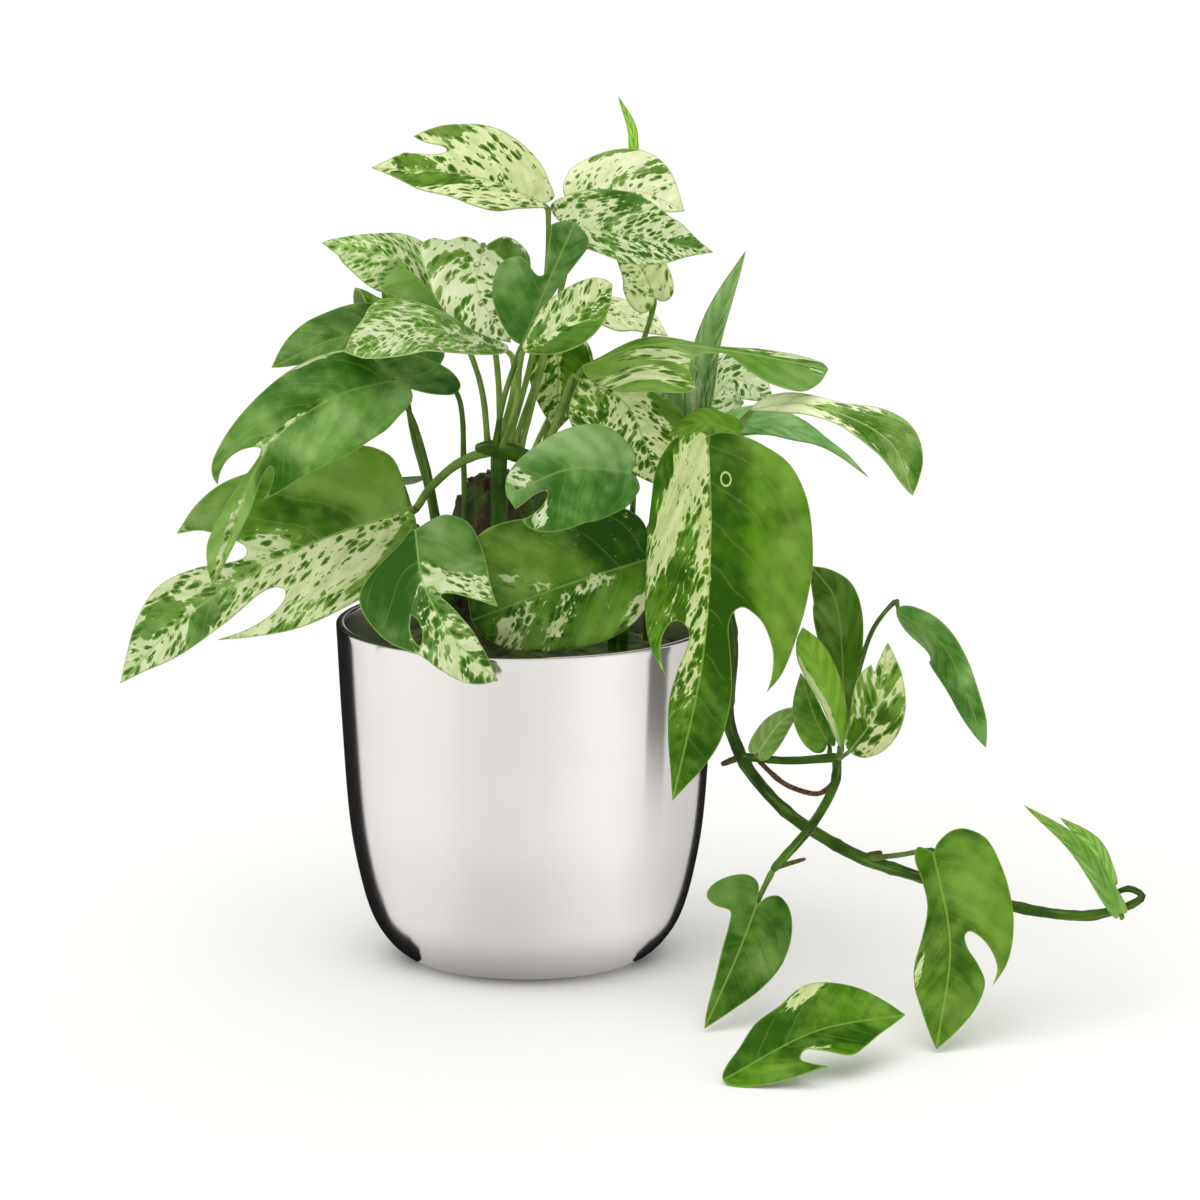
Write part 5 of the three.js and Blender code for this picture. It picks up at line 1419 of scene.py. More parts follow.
class Groups:
    """The shader node groups that several materials use."""

    def __init__(self) -> None:
        """Builds them all."""
        self.marbling = self.make_marbling()
        self.veining = self.make_veining()
        self.patina = self.make_patina()

    @staticmethod
    def make_marbling() -> bpy.types.NodeTree:
        """Cream marbling whose patches and specks are drawn out along the side veins.

        Inputs are the place in vein coordinates and the balance between green and cream. Outputs are a
        mask of cream, a mask of the half-way green round it, a mask of the dark cores of the green
        lozenges, and the cream's own streaks.

        Returns:
            The group.
        """
        kit, source, out = new_group(
            "marbling", {"Weave": "Vector", "Balance": "Float"}, ("Cream", "Pale", "Speck", "Tint"))
        weave = source["Weave"]
        bend = kit.noise(kit.stretch(weave, (0.2, 0.12, 1)), 1.0)
        shift = kit.math("MULTIPLY_ADD", bend, 3.6, -1.8)
        shift = kit.vector(shift, kit.math("MULTIPLY", shift, -0.6))
        moved = kit.add("ShaderNodeVectorMath", {0: weave, 1: shift}, operation="ADD").outputs[0]
        large = kit.noise(kit.stretch(moved, (0.13, 0.055, 1)), 1.0, 1)
        middle = kit.noise(kit.stretch(moved, (0.28, 0.13, 1)), 1.0, 1)
        small = kit.noise(kit.stretch(moved, (0.7, 0.4, 1)), 1.0, 1.5)
        field = kit.math("MULTIPLY_ADD", large, 1.8, kit.math("ADD", source["Balance"], -0.9))
        field = kit.math("MULTIPLY_ADD", middle, 1.0, kit.math("ADD", field, -0.5))
        big, kind = Groups.lozenges(kit, moved, (0.4, 0.2, 1))
        edge = kit.math("MULTIPLY_ADD", big, 3.2, kit.math("ADD", field, -1.65))
        edge = kit.math("MULTIPLY_ADD", kind, 0.9, kit.math("ADD", edge, -0.45))
        edge = kit.math("MULTIPLY_ADD", small, 0.6, kit.math("ADD", edge, -0.3))
        fine, pick = Groups.lozenges(kit, moved, (0.85, 0.42, 1))
        speck = kit.math("MULTIPLY_ADD", kit.ramp(pick, 0.5, 1.0), -0.5, fine)
        speck = kit.math("MULTIPLY_ADD", speck, 2.5, kit.math("MULTIPLY", field, 0.35))
        edge = kit.math("MINIMUM", edge, speck)
        fleck = kit.math("SUBTRACT", kit.ramp(pick, 0.0, 0.25, 0.42, 0.0), fine)
        fleck = kit.math("MULTIPLY_ADD", fleck, 2.5, kit.math("MULTIPLY", field, 0.4))
        edge = kit.math("MAXIMUM", edge, fleck)
        streak = kit.noise(kit.stretch(moved, (0.35, 0.09, 1)), 1.0)
        kit.feed(out, {
            "Cream": kit.ramp(edge, -0.06, 0.06), "Pale": kit.ramp(edge, -0.6, -0.03),
            "Speck": kit.ramp(big, 0.3, 0.38, 1, 0), "Tint": kit.ramp(streak, 0.35, 0.7)})
        return kit.tree

    @staticmethod
    def lozenges(kit: NodeKit, place: object, scale: Point) -> tuple:
        """Cells drawn out along the side veins.

        Args:
            kit: of the group's tree.
            place: the place to read.
            scale: of each axis.

        Returns:
            Distance from the middles of the cells, and a random number for each cell.
        """
        inputs = {"Vector": kit.stretch(place, scale), "Scale": 1.0, "Randomness": 1.0}
        cells = kit.add("ShaderNodeTexVoronoi", inputs, voronoi_dimensions="3D", feature="F1")
        number = kit.add("ShaderNodeSeparateColor", {0: cells.outputs["Color"]}).outputs[0]
        return cells.outputs["Distance"], number

    @staticmethod
    def make_veining() -> bpy.types.NodeTree:
        """Lines of the midrib, the side veins and the margin, and the mottling between them.

        Inputs are the millimetres along and out, the vein number, the distance from the margin, how far
        the glow is raised, which also carries painted light and shade, and the place in vein coordinates.
        Outputs are masks of the midrib and margin line, of the side veins, of the darker valleys along
        them, which the colour uses as painted shade, of the lighter glow between them and of a painted
        sheen in patches, and the height of the swellings.

        Returns:
            The group.
        """
        kit, source, out = new_group(
            "veining",
            {"Along": "Float", "Out": "Float", "Vein": "Float", "Rim": "Float", "Fresh": "Float",
             "Weave": "Vector"},
            ("Line", "Side", "Valley", "Glow", "Sheen", "Relief"))
        away = kit.math("ABSOLUTE", source["Out"])
        rib = kit.ramp(away, 0.25, 0.75, 1.0, 0.0)
        margin = kit.ramp(source["Rim"], 0.25, 0.8, 1.0, 0.0)
        sway = kit.noise(kit.stretch(source["Weave"], (0.02, 0.05, 1)), 1.0, 1)
        number = kit.math("ADD", source["Vein"], kit.math("MULTIPLY_ADD", sway, 0.5, 20.0))
        between = kit.math("ABSOLUTE", kit.math("SUBTRACT", kit.math("FRACT", number), 0.5))
        inner = kit.ramp(source["Rim"], 1.0, 6.0)
        side = kit.math("MULTIPLY", kit.ramp(between, 0.01, 0.05, 1.0, 0.0), inner)
        valley = kit.ramp(between, 0.0, 0.35, 1.0, 0.0)
        place = kit.vector(source["Along"], source["Out"], kit.parts(source["Weave"])[2])
        mottle = kit.noise(place, 0.16)
        streak = kit.noise(kit.stretch(source["Weave"], (0.35, 0.04, 1)), 1.0)
        raised = kit.math("ADD", source["Fresh"], -0.6)
        glow = kit.math("MULTIPLY_ADD", kit.noise(place, 0.04), 1.3, raised)
        glow = kit.math("MULTIPLY_ADD", mottle, 0.5, glow)
        glow = kit.math("MULTIPLY_ADD", streak, 0.4, glow)
        # Painted sheen: patches of lighter green where gloss would show, raised with the painted light.
        painted_shine = kit.math("MULTIPLY_ADD", mottle, 0.2, kit.noise(place, 0.035))
        painted_shine = kit.math("MULTIPLY_ADD", streak, 0.1, painted_shine)
        painted_shine = kit.math("MULTIPLY_ADD", source["Fresh"], 0.35, painted_shine)
        relief = kit.math("MULTIPLY_ADD", valley, -0.35, kit.noise(place, 0.07))
        relief = kit.math("MULTIPLY_ADD", mottle, 0.3, relief)
        kit.feed(out, {
            "Line": kit.math("MAXIMUM", rib, margin), "Side": side, "Valley": valley,
            "Glow": kit.ramp(glow, 0.1, 0.9), "Sheen": kit.ramp(painted_shine, 0.52, 1.0), "Relief": relief})
        return kit.tree

    @staticmethod
    def make_patina() -> bpy.types.NodeTree:
        """Fine uneven brightness from two sizes of noise, for stems, soil and metal.

        Returns:
            The group.
        """
        kit, source, out = new_group(
            "patina", {"Place": "Vector", "Large": "Float", "Small": "Float"}, ("Cloud", "Grain"))
        for name, size in (("Cloud", "Large"), ("Grain", "Small")):
            inputs = {"Vector": source["Place"], "Scale": source[size], "Detail": 3.0}
            noise = kit.add("ShaderNodeTexNoise", inputs).outputs["Fac"]
            kit.feed(out, {name: kit.ramp(noise, 0.3, 0.7)})
        return kit.tree


class LeafFinish:
    """The upper face, underside and margin of one kind of blade."""

    def __init__(self, tone: Tone, groups: Groups) -> None:
        """Builds the three materials.

        Args:
            tone: the kind of blade.
            groups: the shared node groups.
        """
        self.tone = tone
        self.colours = LEAF_COLOURS[tone]
        self.groups = groups
        self.materials = [self.face("top", True, 0.33), self.face("underside", False, 0.55), self.rim()]

    def face(self, name: str, upper: bool, roughness: float) -> Material:
        """One of the two faces.

        Args:
            name: which face.
            upper: true for the upper face, false for the paler, duller underside.
            roughness: of the surface.

        Returns:
            The material.
        """
        material, kit, shader = new_material(f"{self.tone.value}_{name}")
        c = self.colours
        values = {k: kit.value_of(k) for k in (
            "along", "out", "vein", "rim", "balance", "shade", "grey", "fresh", "bright")}
        weave = kit.value_of("weave", "Vector")
        marbling = kit.group(self.groups.marbling, {"Weave": weave, "Balance": values["balance"]})
        veining = kit.group(self.groups.veining, {
            "Along": values["along"], "Out": values["out"], "Vein": values["vein"],
            "Rim": values["rim"], "Fresh": values["fresh"], "Weave": weave})
        green = self.green(kit, veining, c)
        # Painted sheen: the green turned greyer by the grey value.
        green = kit.mix(values["grey"], green, self.green(kit, veining, SHEEN_GREY_COLOURS))
        green = kit.mix(kit.math("MULTIPLY", veining["Side"], 0.18), green, linear(c.pale))
        shaded = kit.dimmed(green, values["shade"])
        deep = kit.mix(kit.math("MULTIPLY", marbling["Speck"], 0.75), shaded, linear(c.deep))
        colour = kit.mix(kit.ramp(values["balance"], -1.8, -0.8), shaded, deep)
        colour = kit.mix(kit.math("MULTIPLY", marbling["Pale"], 0.5), colour, linear(c.pale))
        # Painted sheen on the cream as well.
        cream = kit.mix(values["grey"], linear(c.cream), linear(SHEEN_GREY_COLOURS.cream))
        cream = kit.mix(kit.math("MULTIPLY", marbling["Tint"], 0.45), cream, linear(c.pale))
        colour = kit.mix(marbling["Cream"], colour, kit.dimmed(cream, values["bright"]))
        colour = kit.mix(kit.math("MULTIPLY", veining["Line"], 0.6), colour, linear(c.line))
        scar = kit.length(kit.stretch(kit.value_of("scar", "Vector"), (0.28, 0.42, 0)))
        ring = kit.math("ABSOLUTE", kit.math("SUBTRACT", scar, 1.0))
        colour = kit.mix(kit.ramp(ring, 0.1, 0.22, 0.9, 0), colour, linear("c3cf86"))
        if not upper:
            colour = kit.mix(0.45, colour, linear("93ad76"))
        kit.feed(shader, {
            "Base Color": colour, "Roughness": roughness, "Specular IOR Level": 0.07,
            "Normal": kit.bump(veining["Relief"], 0.8, 0.0022)})
        return material

    @staticmethod
    def green(kit: NodeKit, veining: bpy.types.NodeOutputs, tones: LeafColours) -> Socket:
        """The plain green of a blade: deep along its veins, fresher between them, with a painted sheen.

        Args:
            kit: of the material's tree.
            veining: outputs of the veining group.
            tones: the colours.

        Returns:
            The colour's socket.
        """
        green = kit.mix(veining["Glow"], linear(tones.deep), linear(tones.fresh))
        # Painted sheen: the lightest green laid over patches where gloss would show.
        green = kit.mix(kit.math("MULTIPLY", veining["Sheen"], 0.65), green, linear(tones.light))
        # Painted shade: the valleys along the side veins darkened towards the deep green.
        return kit.mix(kit.math("MULTIPLY", veining["Valley"], 0.2), green, linear(tones.deep))

    def rim(self) -> Material:
        """The cut edge of the blade, a pale line with a little cloudiness.

        Returns:
            The material.
        """
        material, kit, shader = new_material(f"{self.tone.value}_margin")
        cloud = kit.noise(kit.value_of("weave", "Vector"), 0.15)
        colour = kit.mix(kit.ramp(cloud, 0.35, 0.65), linear(self.colours.line), linear(self.colours.pale))
        kit.feed(shader, {"Base Color": colour, "Roughness": 0.45})
        return material


class Finish:
    """One material, with patina over it in two sizes."""

    def __init__(self, groups: Groups, name: str, large: float, small: float) -> None:
        """Starts the material.

        Args:
            groups: the shared node groups.
            name: the material's name.
            large: scale of the patina's clouds.
            small: scale of its grain.
        """
        self.material, self.kit, self.shader = new_material(name)
        self.place = self.kit.add("ShaderNodeTexCoord").outputs["Object"]
        inputs = {"Place": self.place, "Large": large, "Small": small}
        self.patina = self.kit.group(groups.patina, inputs)

    def tones(self, dark: str, light: str, of: str = "Cloud") -> Socket:
        """A dark colour turned into a light one by the patina's clouds or its grain."""
        return self.kit.mix(self.patina[of], linear(dark), linear(light))

    def set(self, **inputs: object) -> None:
        """Links or sets the shader's inputs, whose names have an underscore for each space."""
        self.kit.feed(self.shader, {key.replace("_", " "): value for key, value in inputs.items()})


class StemFinish(Finish):
    """Green stems that turn brown at their stubs, scars and aerial roots."""

    def __init__(self, groups: Groups) -> None:
        """Builds the material.

        Args:
            groups: the shared node groups.
        """
        super().__init__(groups, "stem_skin", 60.0, 700.0)
        kit = self.kit
        green, pale = self.tones("223c05", "436c12"), self.tones("7fa636", "b4cc70")
        colour = kit.mix(kit.value_of("light"), green, pale)
        # Pale streaks along the skin: the stem's ridges, partly a painted highlight.
        streak = kit.noise(kit.value_of("skin", "Vector"), 1.0)
        colour = kit.mix(kit.ramp(streak, 0.5, 0.75, 0, 0.4), colour, linear("86a850"))
        colour = kit.mix(kit.value_of("brown"), colour, self.tones("3b2413", "7a5a3a", "Grain"))
        grain = self.patina["Grain"]
        self.set(
            Base_Color=colour, Roughness=kit.ramp(grain, 0, 1, 0.28, 0.4), Specular_IOR_Level=0.12,
            Normal=kit.bump(grain, 0.3, 0.0004),
        )


class MetalFinish(Finish):
    """Polished metal, turned on a lathe, so that reflections are drawn out upwards."""

    def __init__(self, groups: Groups) -> None:
        """Builds the material.

        Args:
            groups: the shared node groups.
        """
        super().__init__(groups, "polished_metal", 9.0, 2500.0)
        tangent = self.kit.add("ShaderNodeTangent", direction_type="RADIAL", axis="Z")
        self.set(
            Base_Color=self.tones("e4e2e0", "ebe9e8"),
            Roughness=self.kit.ramp(self.patina["Grain"], 0, 1, 0.15, 0.17), Metallic=1.0,
            Anisotropic=0.9, Anisotropic_Rotation=0.25, Tangent=tangent.outputs[0],
        )


class SoilFinish(Finish):
    """Dark bark mix with green moss over the top of its mound."""

    def __init__(self, groups: Groups) -> None:
        """Builds the material.

        Args:
            groups: the shared node groups.
        """
        super().__init__(groups, "bark_mix", 90.0, 600.0)
        kit = self.kit
        grain = kit.math("MULTIPLY", self.patina["Grain"], 0.4)
        bark = kit.mix(grain, self.tones("171008", "4e2f1a"), linear("6d5233"))
        colour = kit.mix(kit.value_of("moss"), bark, self.tones("22360c", "5c7c24"))
        self.set(Base_Color=colour, Roughness=0.95, Normal=kit.bump(self.patina["Cloud"], 0.8, 0.002))


class ClothFinish(Finish):
    """A matt surface of the stage without any shine: the floor, or the cloth of a flag."""

    def __init__(self, groups: Groups, name: str, sizes: Point, dark: str, light: str) -> None:
        """Builds the material from its name, the patina's scales and its two tones."""
        super().__init__(groups, name, *sizes)
        self.set(Base_Color=self.tones(dark, light), Roughness=0.9, Specular_IOR_Level=0.0)


# Degrees from the camera's side of the dome, to the right, and how bright it is there.
DOME_LIGHT: tuple[Point, ...] = (
    (-150, 0.6), (-128, 0.735), (-115, 0.8), (-104, 0.885), (-78, 0.955), (-62, 0.945), (-48, 0.92),
    (-35, 0.845), (-22, 0.8), (-4, 0.79), (9, 0.82), (21, 0.875), (34, 0.945), (47, 1.0), (61, 0.945),
    (76, 0.82), (93, 0.7), (112, 0.63), (150, 0.6),
)


class DomeFinish(Finish):
    """White light from the studio's cloth dome, dimmed round the pot's foot as a painted shadow."""

    BACK = 0.6

    def __init__(self, groups: Groups) -> None:
        """Builds the material.

        Args:
            groups: the shared node groups.
        """
        super().__init__(groups, "white_dome", 0.25, 9.0)
        kit = self.kit
        away = kit.parts(self.place)
        turn = kit.math("ARCTAN2", away[0], kit.math("MULTIPLY", away[1], -1.0))
        steps = kit.add("ShaderNodeValToRGB", {0: kit.math("MULTIPLY_ADD", turn, 0.5 / math.pi, 0.5)})
        self.dim(steps.color_ramp)
        reach = kit.length(self.place)
        # Painted shadow: the cloth round the foot is dimmed where the pot's shadow would fall, as the metal
        # mirrors it.
        near = kit.ramp(reach, 0.04, 0.11, 0.25, 0.86)
        near = kit.math("MULTIPLY", near, kit.ramp(reach, 0.1, 0.3, 1.0, 1.16))
        near = kit.add("ShaderNodeCombineColor", {0: near, 1: near, 2: near}).outputs[0]
        colour = kit.mix(1.0, self.tones("f6f4f2", "fffefc"), steps.outputs[0], "MULTIPLY")
        colour = kit.mix(1.0, colour, near, "MULTIPLY")
        self.set(Emission_Color=colour, Base_Color=(0.0, 0.0, 0.0, 1.0), Emission_Strength=1.08)

    def dim(self, ramp: bpy.types.ColorRamp) -> None:
        """Sets how bright the dome is all the way round, from straight behind the pot and back again.

        Args:
            ramp: of the brightness round the dome.
        """
        for turn, light in DOME_LIGHT:
            ramp.elements.new(0.5 + turn / 360).color = (light, light, light, 1.0)
        for end in (0, -1):
            ramp.elements[end].color = (self.BACK, self.BACK, self.BACK, 1.0)


@dataclass
class Tubes:
    """Gathers closed tubes into one mesh.

    Attributes:
        sides: corners round a tube.
        step: distance between its rings.
        skin: how far its surface is uneven, as a share of the radius.
        closing: how far its first and last ring draw in.
    """

    sides: int = 14
    step: float = 2.6
    skin: float = 0.04
    closing: float = 0.75

    def __post_init__(self) -> None:
        """Starts empty."""
        self.points: list[Array] = []
        self.faces: list[Array] = []
        self.caps: list[Array] = []
        self.values: dict[str, list[Array]] = {"light": [], "brown": [], "skin": []}
        self.count = 0

    def add(
        self, points: tuple[Point, ...] | list, radii: list[float] | Point, light: float = 0.0,
        brown: Array | float = 0.0, swell: tuple[Point, ...] = (),
    ) -> None:
        """Adds a tube: rings square to its line, whose radius swells in a bell at each swelling.

        Args:
            points: its line.
            radii: its radius at each point.
            light: how pale its green is.
            brown: how brown it is, from its start to its end.
            swell: distance from the start, width and height as a share of the radius of each swelling.
        """
        line = SmoothLine(tuple(tuple(p) for p in points))
        count = max(4, math.ceil(line.length / self.step))
        share = np.linspace(0, 1, count + 1)
        centre, along = line.at(share), line.direction(share)
        reference = np.linalg.svd(along, full_matrices=False)[2][-1]
        side = unit(reference - along * (along @ reference)[:, None])
        other = np.cross(along, side)
        radius = smooth_table(line.keys, np.array(radii, dtype=float), share)
        run = share * line.length
        for at, width, height in swell:
            radius = radius * (1 + height * np.exp(-(((run - at) / width) ** 2)))
        radius[[0, -1]] *= self.closing
        sides = self.sides
        angle = 2 * np.pi * np.arange(sides) / sides
        spoke = side[:, None] * np.cos(angle)[None, :, None] + other[:, None] * np.sin(angle)[None, :, None]
        rings = centre[:, None] + spoke * radius[:, None, None]
        flat = rings.reshape(-1, 3)
        uneven = Ripple(11, 7.0).at(flat) * self.skin
        flat = flat + spoke.reshape(-1, 3) * (uneven * np.repeat(radius, sides))[:, None]
        self.faces.append(ring_faces(count + 1, sides) + self.count)
        last = count * sides
        self.caps.append(np.array([np.arange(sides)[::-1], last + np.arange(sides)]) + self.count)
        self.points.append(flat)
        self.values["light"].append(np.full(len(flat), light))
        shade = np.interp(share, [0, 1], brown) if isinstance(brown, tuple) else np.full(count + 1, brown)
        self.values["brown"].append(np.repeat(shade, sides))
        round_it = np.tile(np.stack([np.cos(angle), np.sin(angle)], axis=1) * 1.6, (count + 1, 1))
        self.values["skin"].append(np.column_stack([np.repeat(run, sides) * 0.05, round_it]))
        self.count += len(flat)

    def build(self, name: str, material: Material) -> bpy.types.Object:
        """The object of all the tubes.

        Args:
            name: the object's name.
            material: the skin of the tubes.

        Returns:
            The object.
        """
        values = {key: np.concatenate(rows) for key, rows in self.values.items()}
        faces = [np.concatenate(self.faces), np.concatenate(self.caps)]
        return new_object(name, np.concatenate(self.points), faces, [material], values=values)


class StemGroup:
    """A stem with the petioles that grow from it.

    The trailing vine keeps its table's radii. Other stems and all petioles are slimmer than the tables
    say, because those also serve the thicker solids.
    """

    STEM_SLIM = 0.88
    PETIOLE_SLIM = 0.66
    JOINT_FIRST, JOINT_EVERY, JOINT_LAST = 14, 34, 8
    JOINT_WIDTH, JOINT_HEIGHT = 2.2, 0.16
    SHORTEST_JOINTED = 60
    PALENESS = {Tone.DARK: 0.3, Tone.BRIGHT: 0.5, Tone.MARBLED: 0.8, Tone.PALE: 1.0}

    def __init__(self, key: str, blades: tuple[Blade, ...], light: float) -> None:
        """Keeps what the stem is made from.

        Args:
            key: names the stem in the table of lines.
            blades: the blades that it carries.
            light: how pale its petioles are.
        """
        self.key = key
        self.blades = blades
        self.light = light

    def joints(self, length: float) -> tuple[Point, ...]:
        """The swellings of a stem of that length, as place, width and height.

        Args:
            length: of the stem in millimetres.

        Returns:
            A row for each swelling.
        """
        if length <= self.SHORTEST_JOINTED:
            return ()
        places = np.arange(self.JOINT_FIRST, length - self.JOINT_LAST, self.JOINT_EVERY)
        return tuple((place, self.JOINT_WIDTH, self.JOINT_HEIGHT) for place in places)

    def build(self, finish: StemFinish) -> None:
        """Makes the stem's object.

        Args:
            finish: the skin of stems.
        """
        tubes = Tubes()
        for line in STEM_LINES[self.key]:
            slim = 1.0 if self.key == "vine" else self.STEM_SLIM
            radii = tuple(slim * radius for radius in line.radii)
            swell = self.joints(SmoothLine(line.points).length)
            tubes.add(line.points, radii, brown=line.brown, swell=swell)
        for blade in self.blades:
            self.add_petiole(tubes, blade)
        piece = tubes.build(f"{self.key}_stems_fine", finish.material)
        piece.visible_glossy = self.key in MIRRORED
        register(piece, f"{self.key}_stems")

    def add_petiole(self, tubes: Tubes, blade: Blade) -> None:
        """The blade's petiole, up to the keel of its midrib, with a swelling under the blade.

        Args:
            tubes: takes the petiole.
            blade: the blade that it carries.
        """
        petiole = blade.petiole
        line = SmoothLine(blade.rib)
        start = np.zeros(1)
        along = line.direction(start)[0]
        normal = rib_frame(blade.turn, along)[1]
        radius = petiole.radius * self.PETIOLE_SLIM
        end = radius * 0.9
        tip = line.at(start)[0] - normal * (0.75 + 0.55 * end)
        neck = tip - normal * 3.6 - along * 4.8
        into = line.at(np.array([0.035]))[0] - normal * (0.35 + 0.5 * end)
        points = [petiole.start, *petiole.through, tuple(neck), tuple(tip), tuple(into)]
        grow = np.linspace(1.2, 0.9, len(points) - 1)
        radii = [radius * g for g in grow] + [radius * 0.6]
        length = SmoothLine(tuple(points)).length
        swell = ((length - 9, 4.0, 0.14), (3.0, 5.0, 0.2))
        tubes.add(points, radii, light=self.PALENESS[blade.tone] * self.light, swell=swell)


@dataclass(frozen=True)
class Pot:
    """The cup: one wall of revolution with a flat rim and an open top.

    Attributes:
        height: of the rim.
        radius: at the rim.
        wall: thickness.
        lip: radius of the rim's edges.
        sides: corners round it.
        rings: rings of corners up the outside.
    """

    height: float = 172.0
    radius: float = 95.0
    wall: float = 4.5
    lip: float = 1.1
    sides: int = 160
    rings: int = 46

    def profile(self) -> Array:
        """The cup's half section.

        Returns:
            Radius and height from the middle of the foot, up the outside, over the rim and down inside.
        """
        rows = np.array(POT_PROFILE)
        line = SmoothLine(tuple((r, 0.0, z) for r, z in POT_PROFILE))
        share = np.linspace(0, 1, self.rings)
        outside = line.at(share)[:, [0, 2]]
        along = line.direction(share)[:, [0, 2]]
        inward = np.stack([-along[:, 1], along[:, 0]], axis=1)
        inside_wall = outside + inward * self.wall
        inside_wall = inside_wall[inside_wall[:, 1] > self.wall + 0.1]
        lip, turns = self.lip, np.radians(np.arange(0, 91, 22.5))
        high, inner_edge = self.height - lip, self.radius - self.wall
        outer = np.stack([self.radius - lip + lip * np.cos(turns), high + lip * np.sin(turns)], axis=1)
        inner = np.stack([inner_edge + lip - lip * np.sin(turns), high + lip * np.cos(turns)], axis=1)
        foot = np.array([[0.0, 0.9], [rows[0, 0] - 5, 0.9], [rows[0, 0] - 3, 0.0]])
        bottom = np.array([[inside_wall[0, 0] - 6, self.wall], [0.0, self.wall]])
        below = inside_wall[inside_wall[:, 1] < self.height - lip - 1][::-1]
        return np.concatenate([foot, outside[:-1], outer, inner, below, bottom])

    def build(self, finish: MetalFinish) -> None:
        """Makes the pot's object: its profile turned round the upright axis.

        Args:
            finish: the metal.
        """
        rows = self.profile()
        middle = rows[1:-1]
        angle = 2 * np.pi * np.arange(self.sides) / self.sides
        x = middle[:, :1] * np.cos(angle)
        y = middle[:, :1] * np.sin(angle)
        z = np.repeat(middle[:, 1:], self.sides, axis=1)
        points = np.stack([x, y, z], axis=2).reshape(-1, 3)
        poles = np.array([[0, 0, rows[0, 1]], [0, 0, rows[-1, 1]]])
        last, count = (len(middle) - 1) * self.sides, len(points)
        ends = [fan(count, 0, self.sides, inward=True), fan(count + 1, last, self.sides)]
        faces = [ring_faces(len(middle), self.sides), np.concatenate(ends)]
        piece = new_object("pot_fine", np.concatenate([points, poles]), faces, [finish.material])
        register(piece, "pot")


@dataclass(frozen=True)
class Mix:
    """The growing mix: bark chips round a steep root mound with moss on top.

    Attributes:
        level: height of its surface near the wall.
        mound: height of the mound.
        reach: radius of the mound at half its height.
        centre: of the mound.
        edge: radius at the wall.
        depth: how far its sides go down from its surface.
        rings: rings of corners from its middle to the wall.
        sides: corners round it.
    """

    level: float = 158.0
    mound: float = 84.0
    reach: float = 25.0
    centre: tuple[float, float] = (-15.0, 22.0)
    edge: float = 89.0
    depth: float = 26.0
    rings: int = 74
    sides: int = 150

    def height(self, x: Array, y: Array) -> Array:
        """Height of the smooth surface over places: a steep bell over an almost level bed.

        Args:
            x: places to the right.
            y: places away.

        Returns:
            A height for each place.
        """
        away = np.hypot(x - self.centre[0], y - self.centre[1]) / self.reach
        sink = 7 * np.clip(1 - (self.edge - np.hypot(x, y)) / 30, 0, 1)
        bed = self.level - sink + 1.5 * np.sin(0.21 * x + 1) * np.sin(0.17 * y)
        return bed + self.mound / (1 + away**6)

    def build(self, finish: SoilFinish) -> None:
        """Makes the mix's object: rings of corners at its height, pushed in and out by seeded unevenness.

        Args:
            finish: bark and moss.
        """
        rings, sides = self.rings, self.sides
        inner = np.arange(1, rings + 1) / rings
        drift = 1 - inner**2
        angle = 2 * np.pi * np.arange(sides) / sides
        radius = self.edge * inner**1.15
        x = radius[:, None] * np.cos(angle) + self.centre[0] * drift[:, None]
        y = radius[:, None] * np.sin(angle) + self.centre[1] * drift[:, None]
        flat = np.stack([x.ravel(), y.ravel()], axis=1)
        high = self.height(flat[:, 0], flat[:, 1])
        spots = np.column_stack([flat, high])
        steep = np.clip((high - self.level) / self.mound, 0, 1)
        rough = Ripple(5, 9).at(spots) * 1.1 + Ripple(6, 3.6).at(spots) * 0.7
        fade = np.clip((self.edge - np.hypot(flat[:, 0], flat[:, 1])) / 4, 0, 1)
        out = unit(np.column_stack([flat - np.array(self.centre), np.full(len(flat), 8.0)]))
        spots = spots + out * ((rough - 0.9) * fade * (1 + 0.8 * steep))[:, None]
        moss = np.clip(steep * 1.1 - 0.35 + Ripple(8, 14).at(spots) * 0.9, 0, 1)
        moss = np.maximum(moss, 0.75 * (1 - np.clip(steep * 3, 0, 1)))
        bottom, wall = self.level - self.depth, self.edge * 0.985
        low = np.stack([wall * np.cos(angle), wall * np.sin(angle), np.full(sides, bottom)], axis=1)
        poles = np.array([[*self.centre, self.level + self.mound], [0, 0, bottom]])
        points = np.concatenate([spots, low, poles])
        ends = [fan(len(points) - 2, 0, sides), fan(len(points) - 1, rings * sides, sides, inward=True)]
        values = {"moss": np.concatenate([moss, np.zeros(sides), [1.0, 0.0]])}
        faces = [ring_faces(rings + 1, sides, inward=True), np.concatenate(ends)]
        piece = new_object("growing_mix_fine", points, faces, [finish.material], values=values)
        register(piece, "growing_mix")


class Foliage:
    """All the blades, each in its tone's finish."""

    def __init__(self, groups: Groups) -> None:
        """Builds the finishes."""
        self.finishes = {tone: LeafFinish(tone, groups) for tone in Tone}
        self.form = BladeForm()

    def build(self, blades: tuple[Blade, ...], mirrored: bool = True) -> None:
        """Makes the objects of some blades.

        Args:
            blades: the blades to make.
            mirrored: whether the metal mirrors them.
        """
        for blade in blades:
            seed = 1 + sum(ord(letter) for letter in blade.name) % 997
            piece = BladeMesh(blade, self.form, seed).build(self.finishes[blade.tone].materials)
            piece.visible_glossy = mirrored
            register(piece, blade.name)


# Rows of the black cloth from the foot of the pot outwards: its near side, then its far side.
DARK_STRIP = np.array([
    (54, -16, 56, -38), (58, 0, 65, -44), (62, 20, 79, -40), (66, 60, 105, -14),
    (70, 110, 134, 6), (75, 170, 160, 31), (80, 300, 222, 80), (85, 600, 345, 186), (90, 1000, 499, 322),
    (100, 2500, 2100, 1750),
], dtype=float)


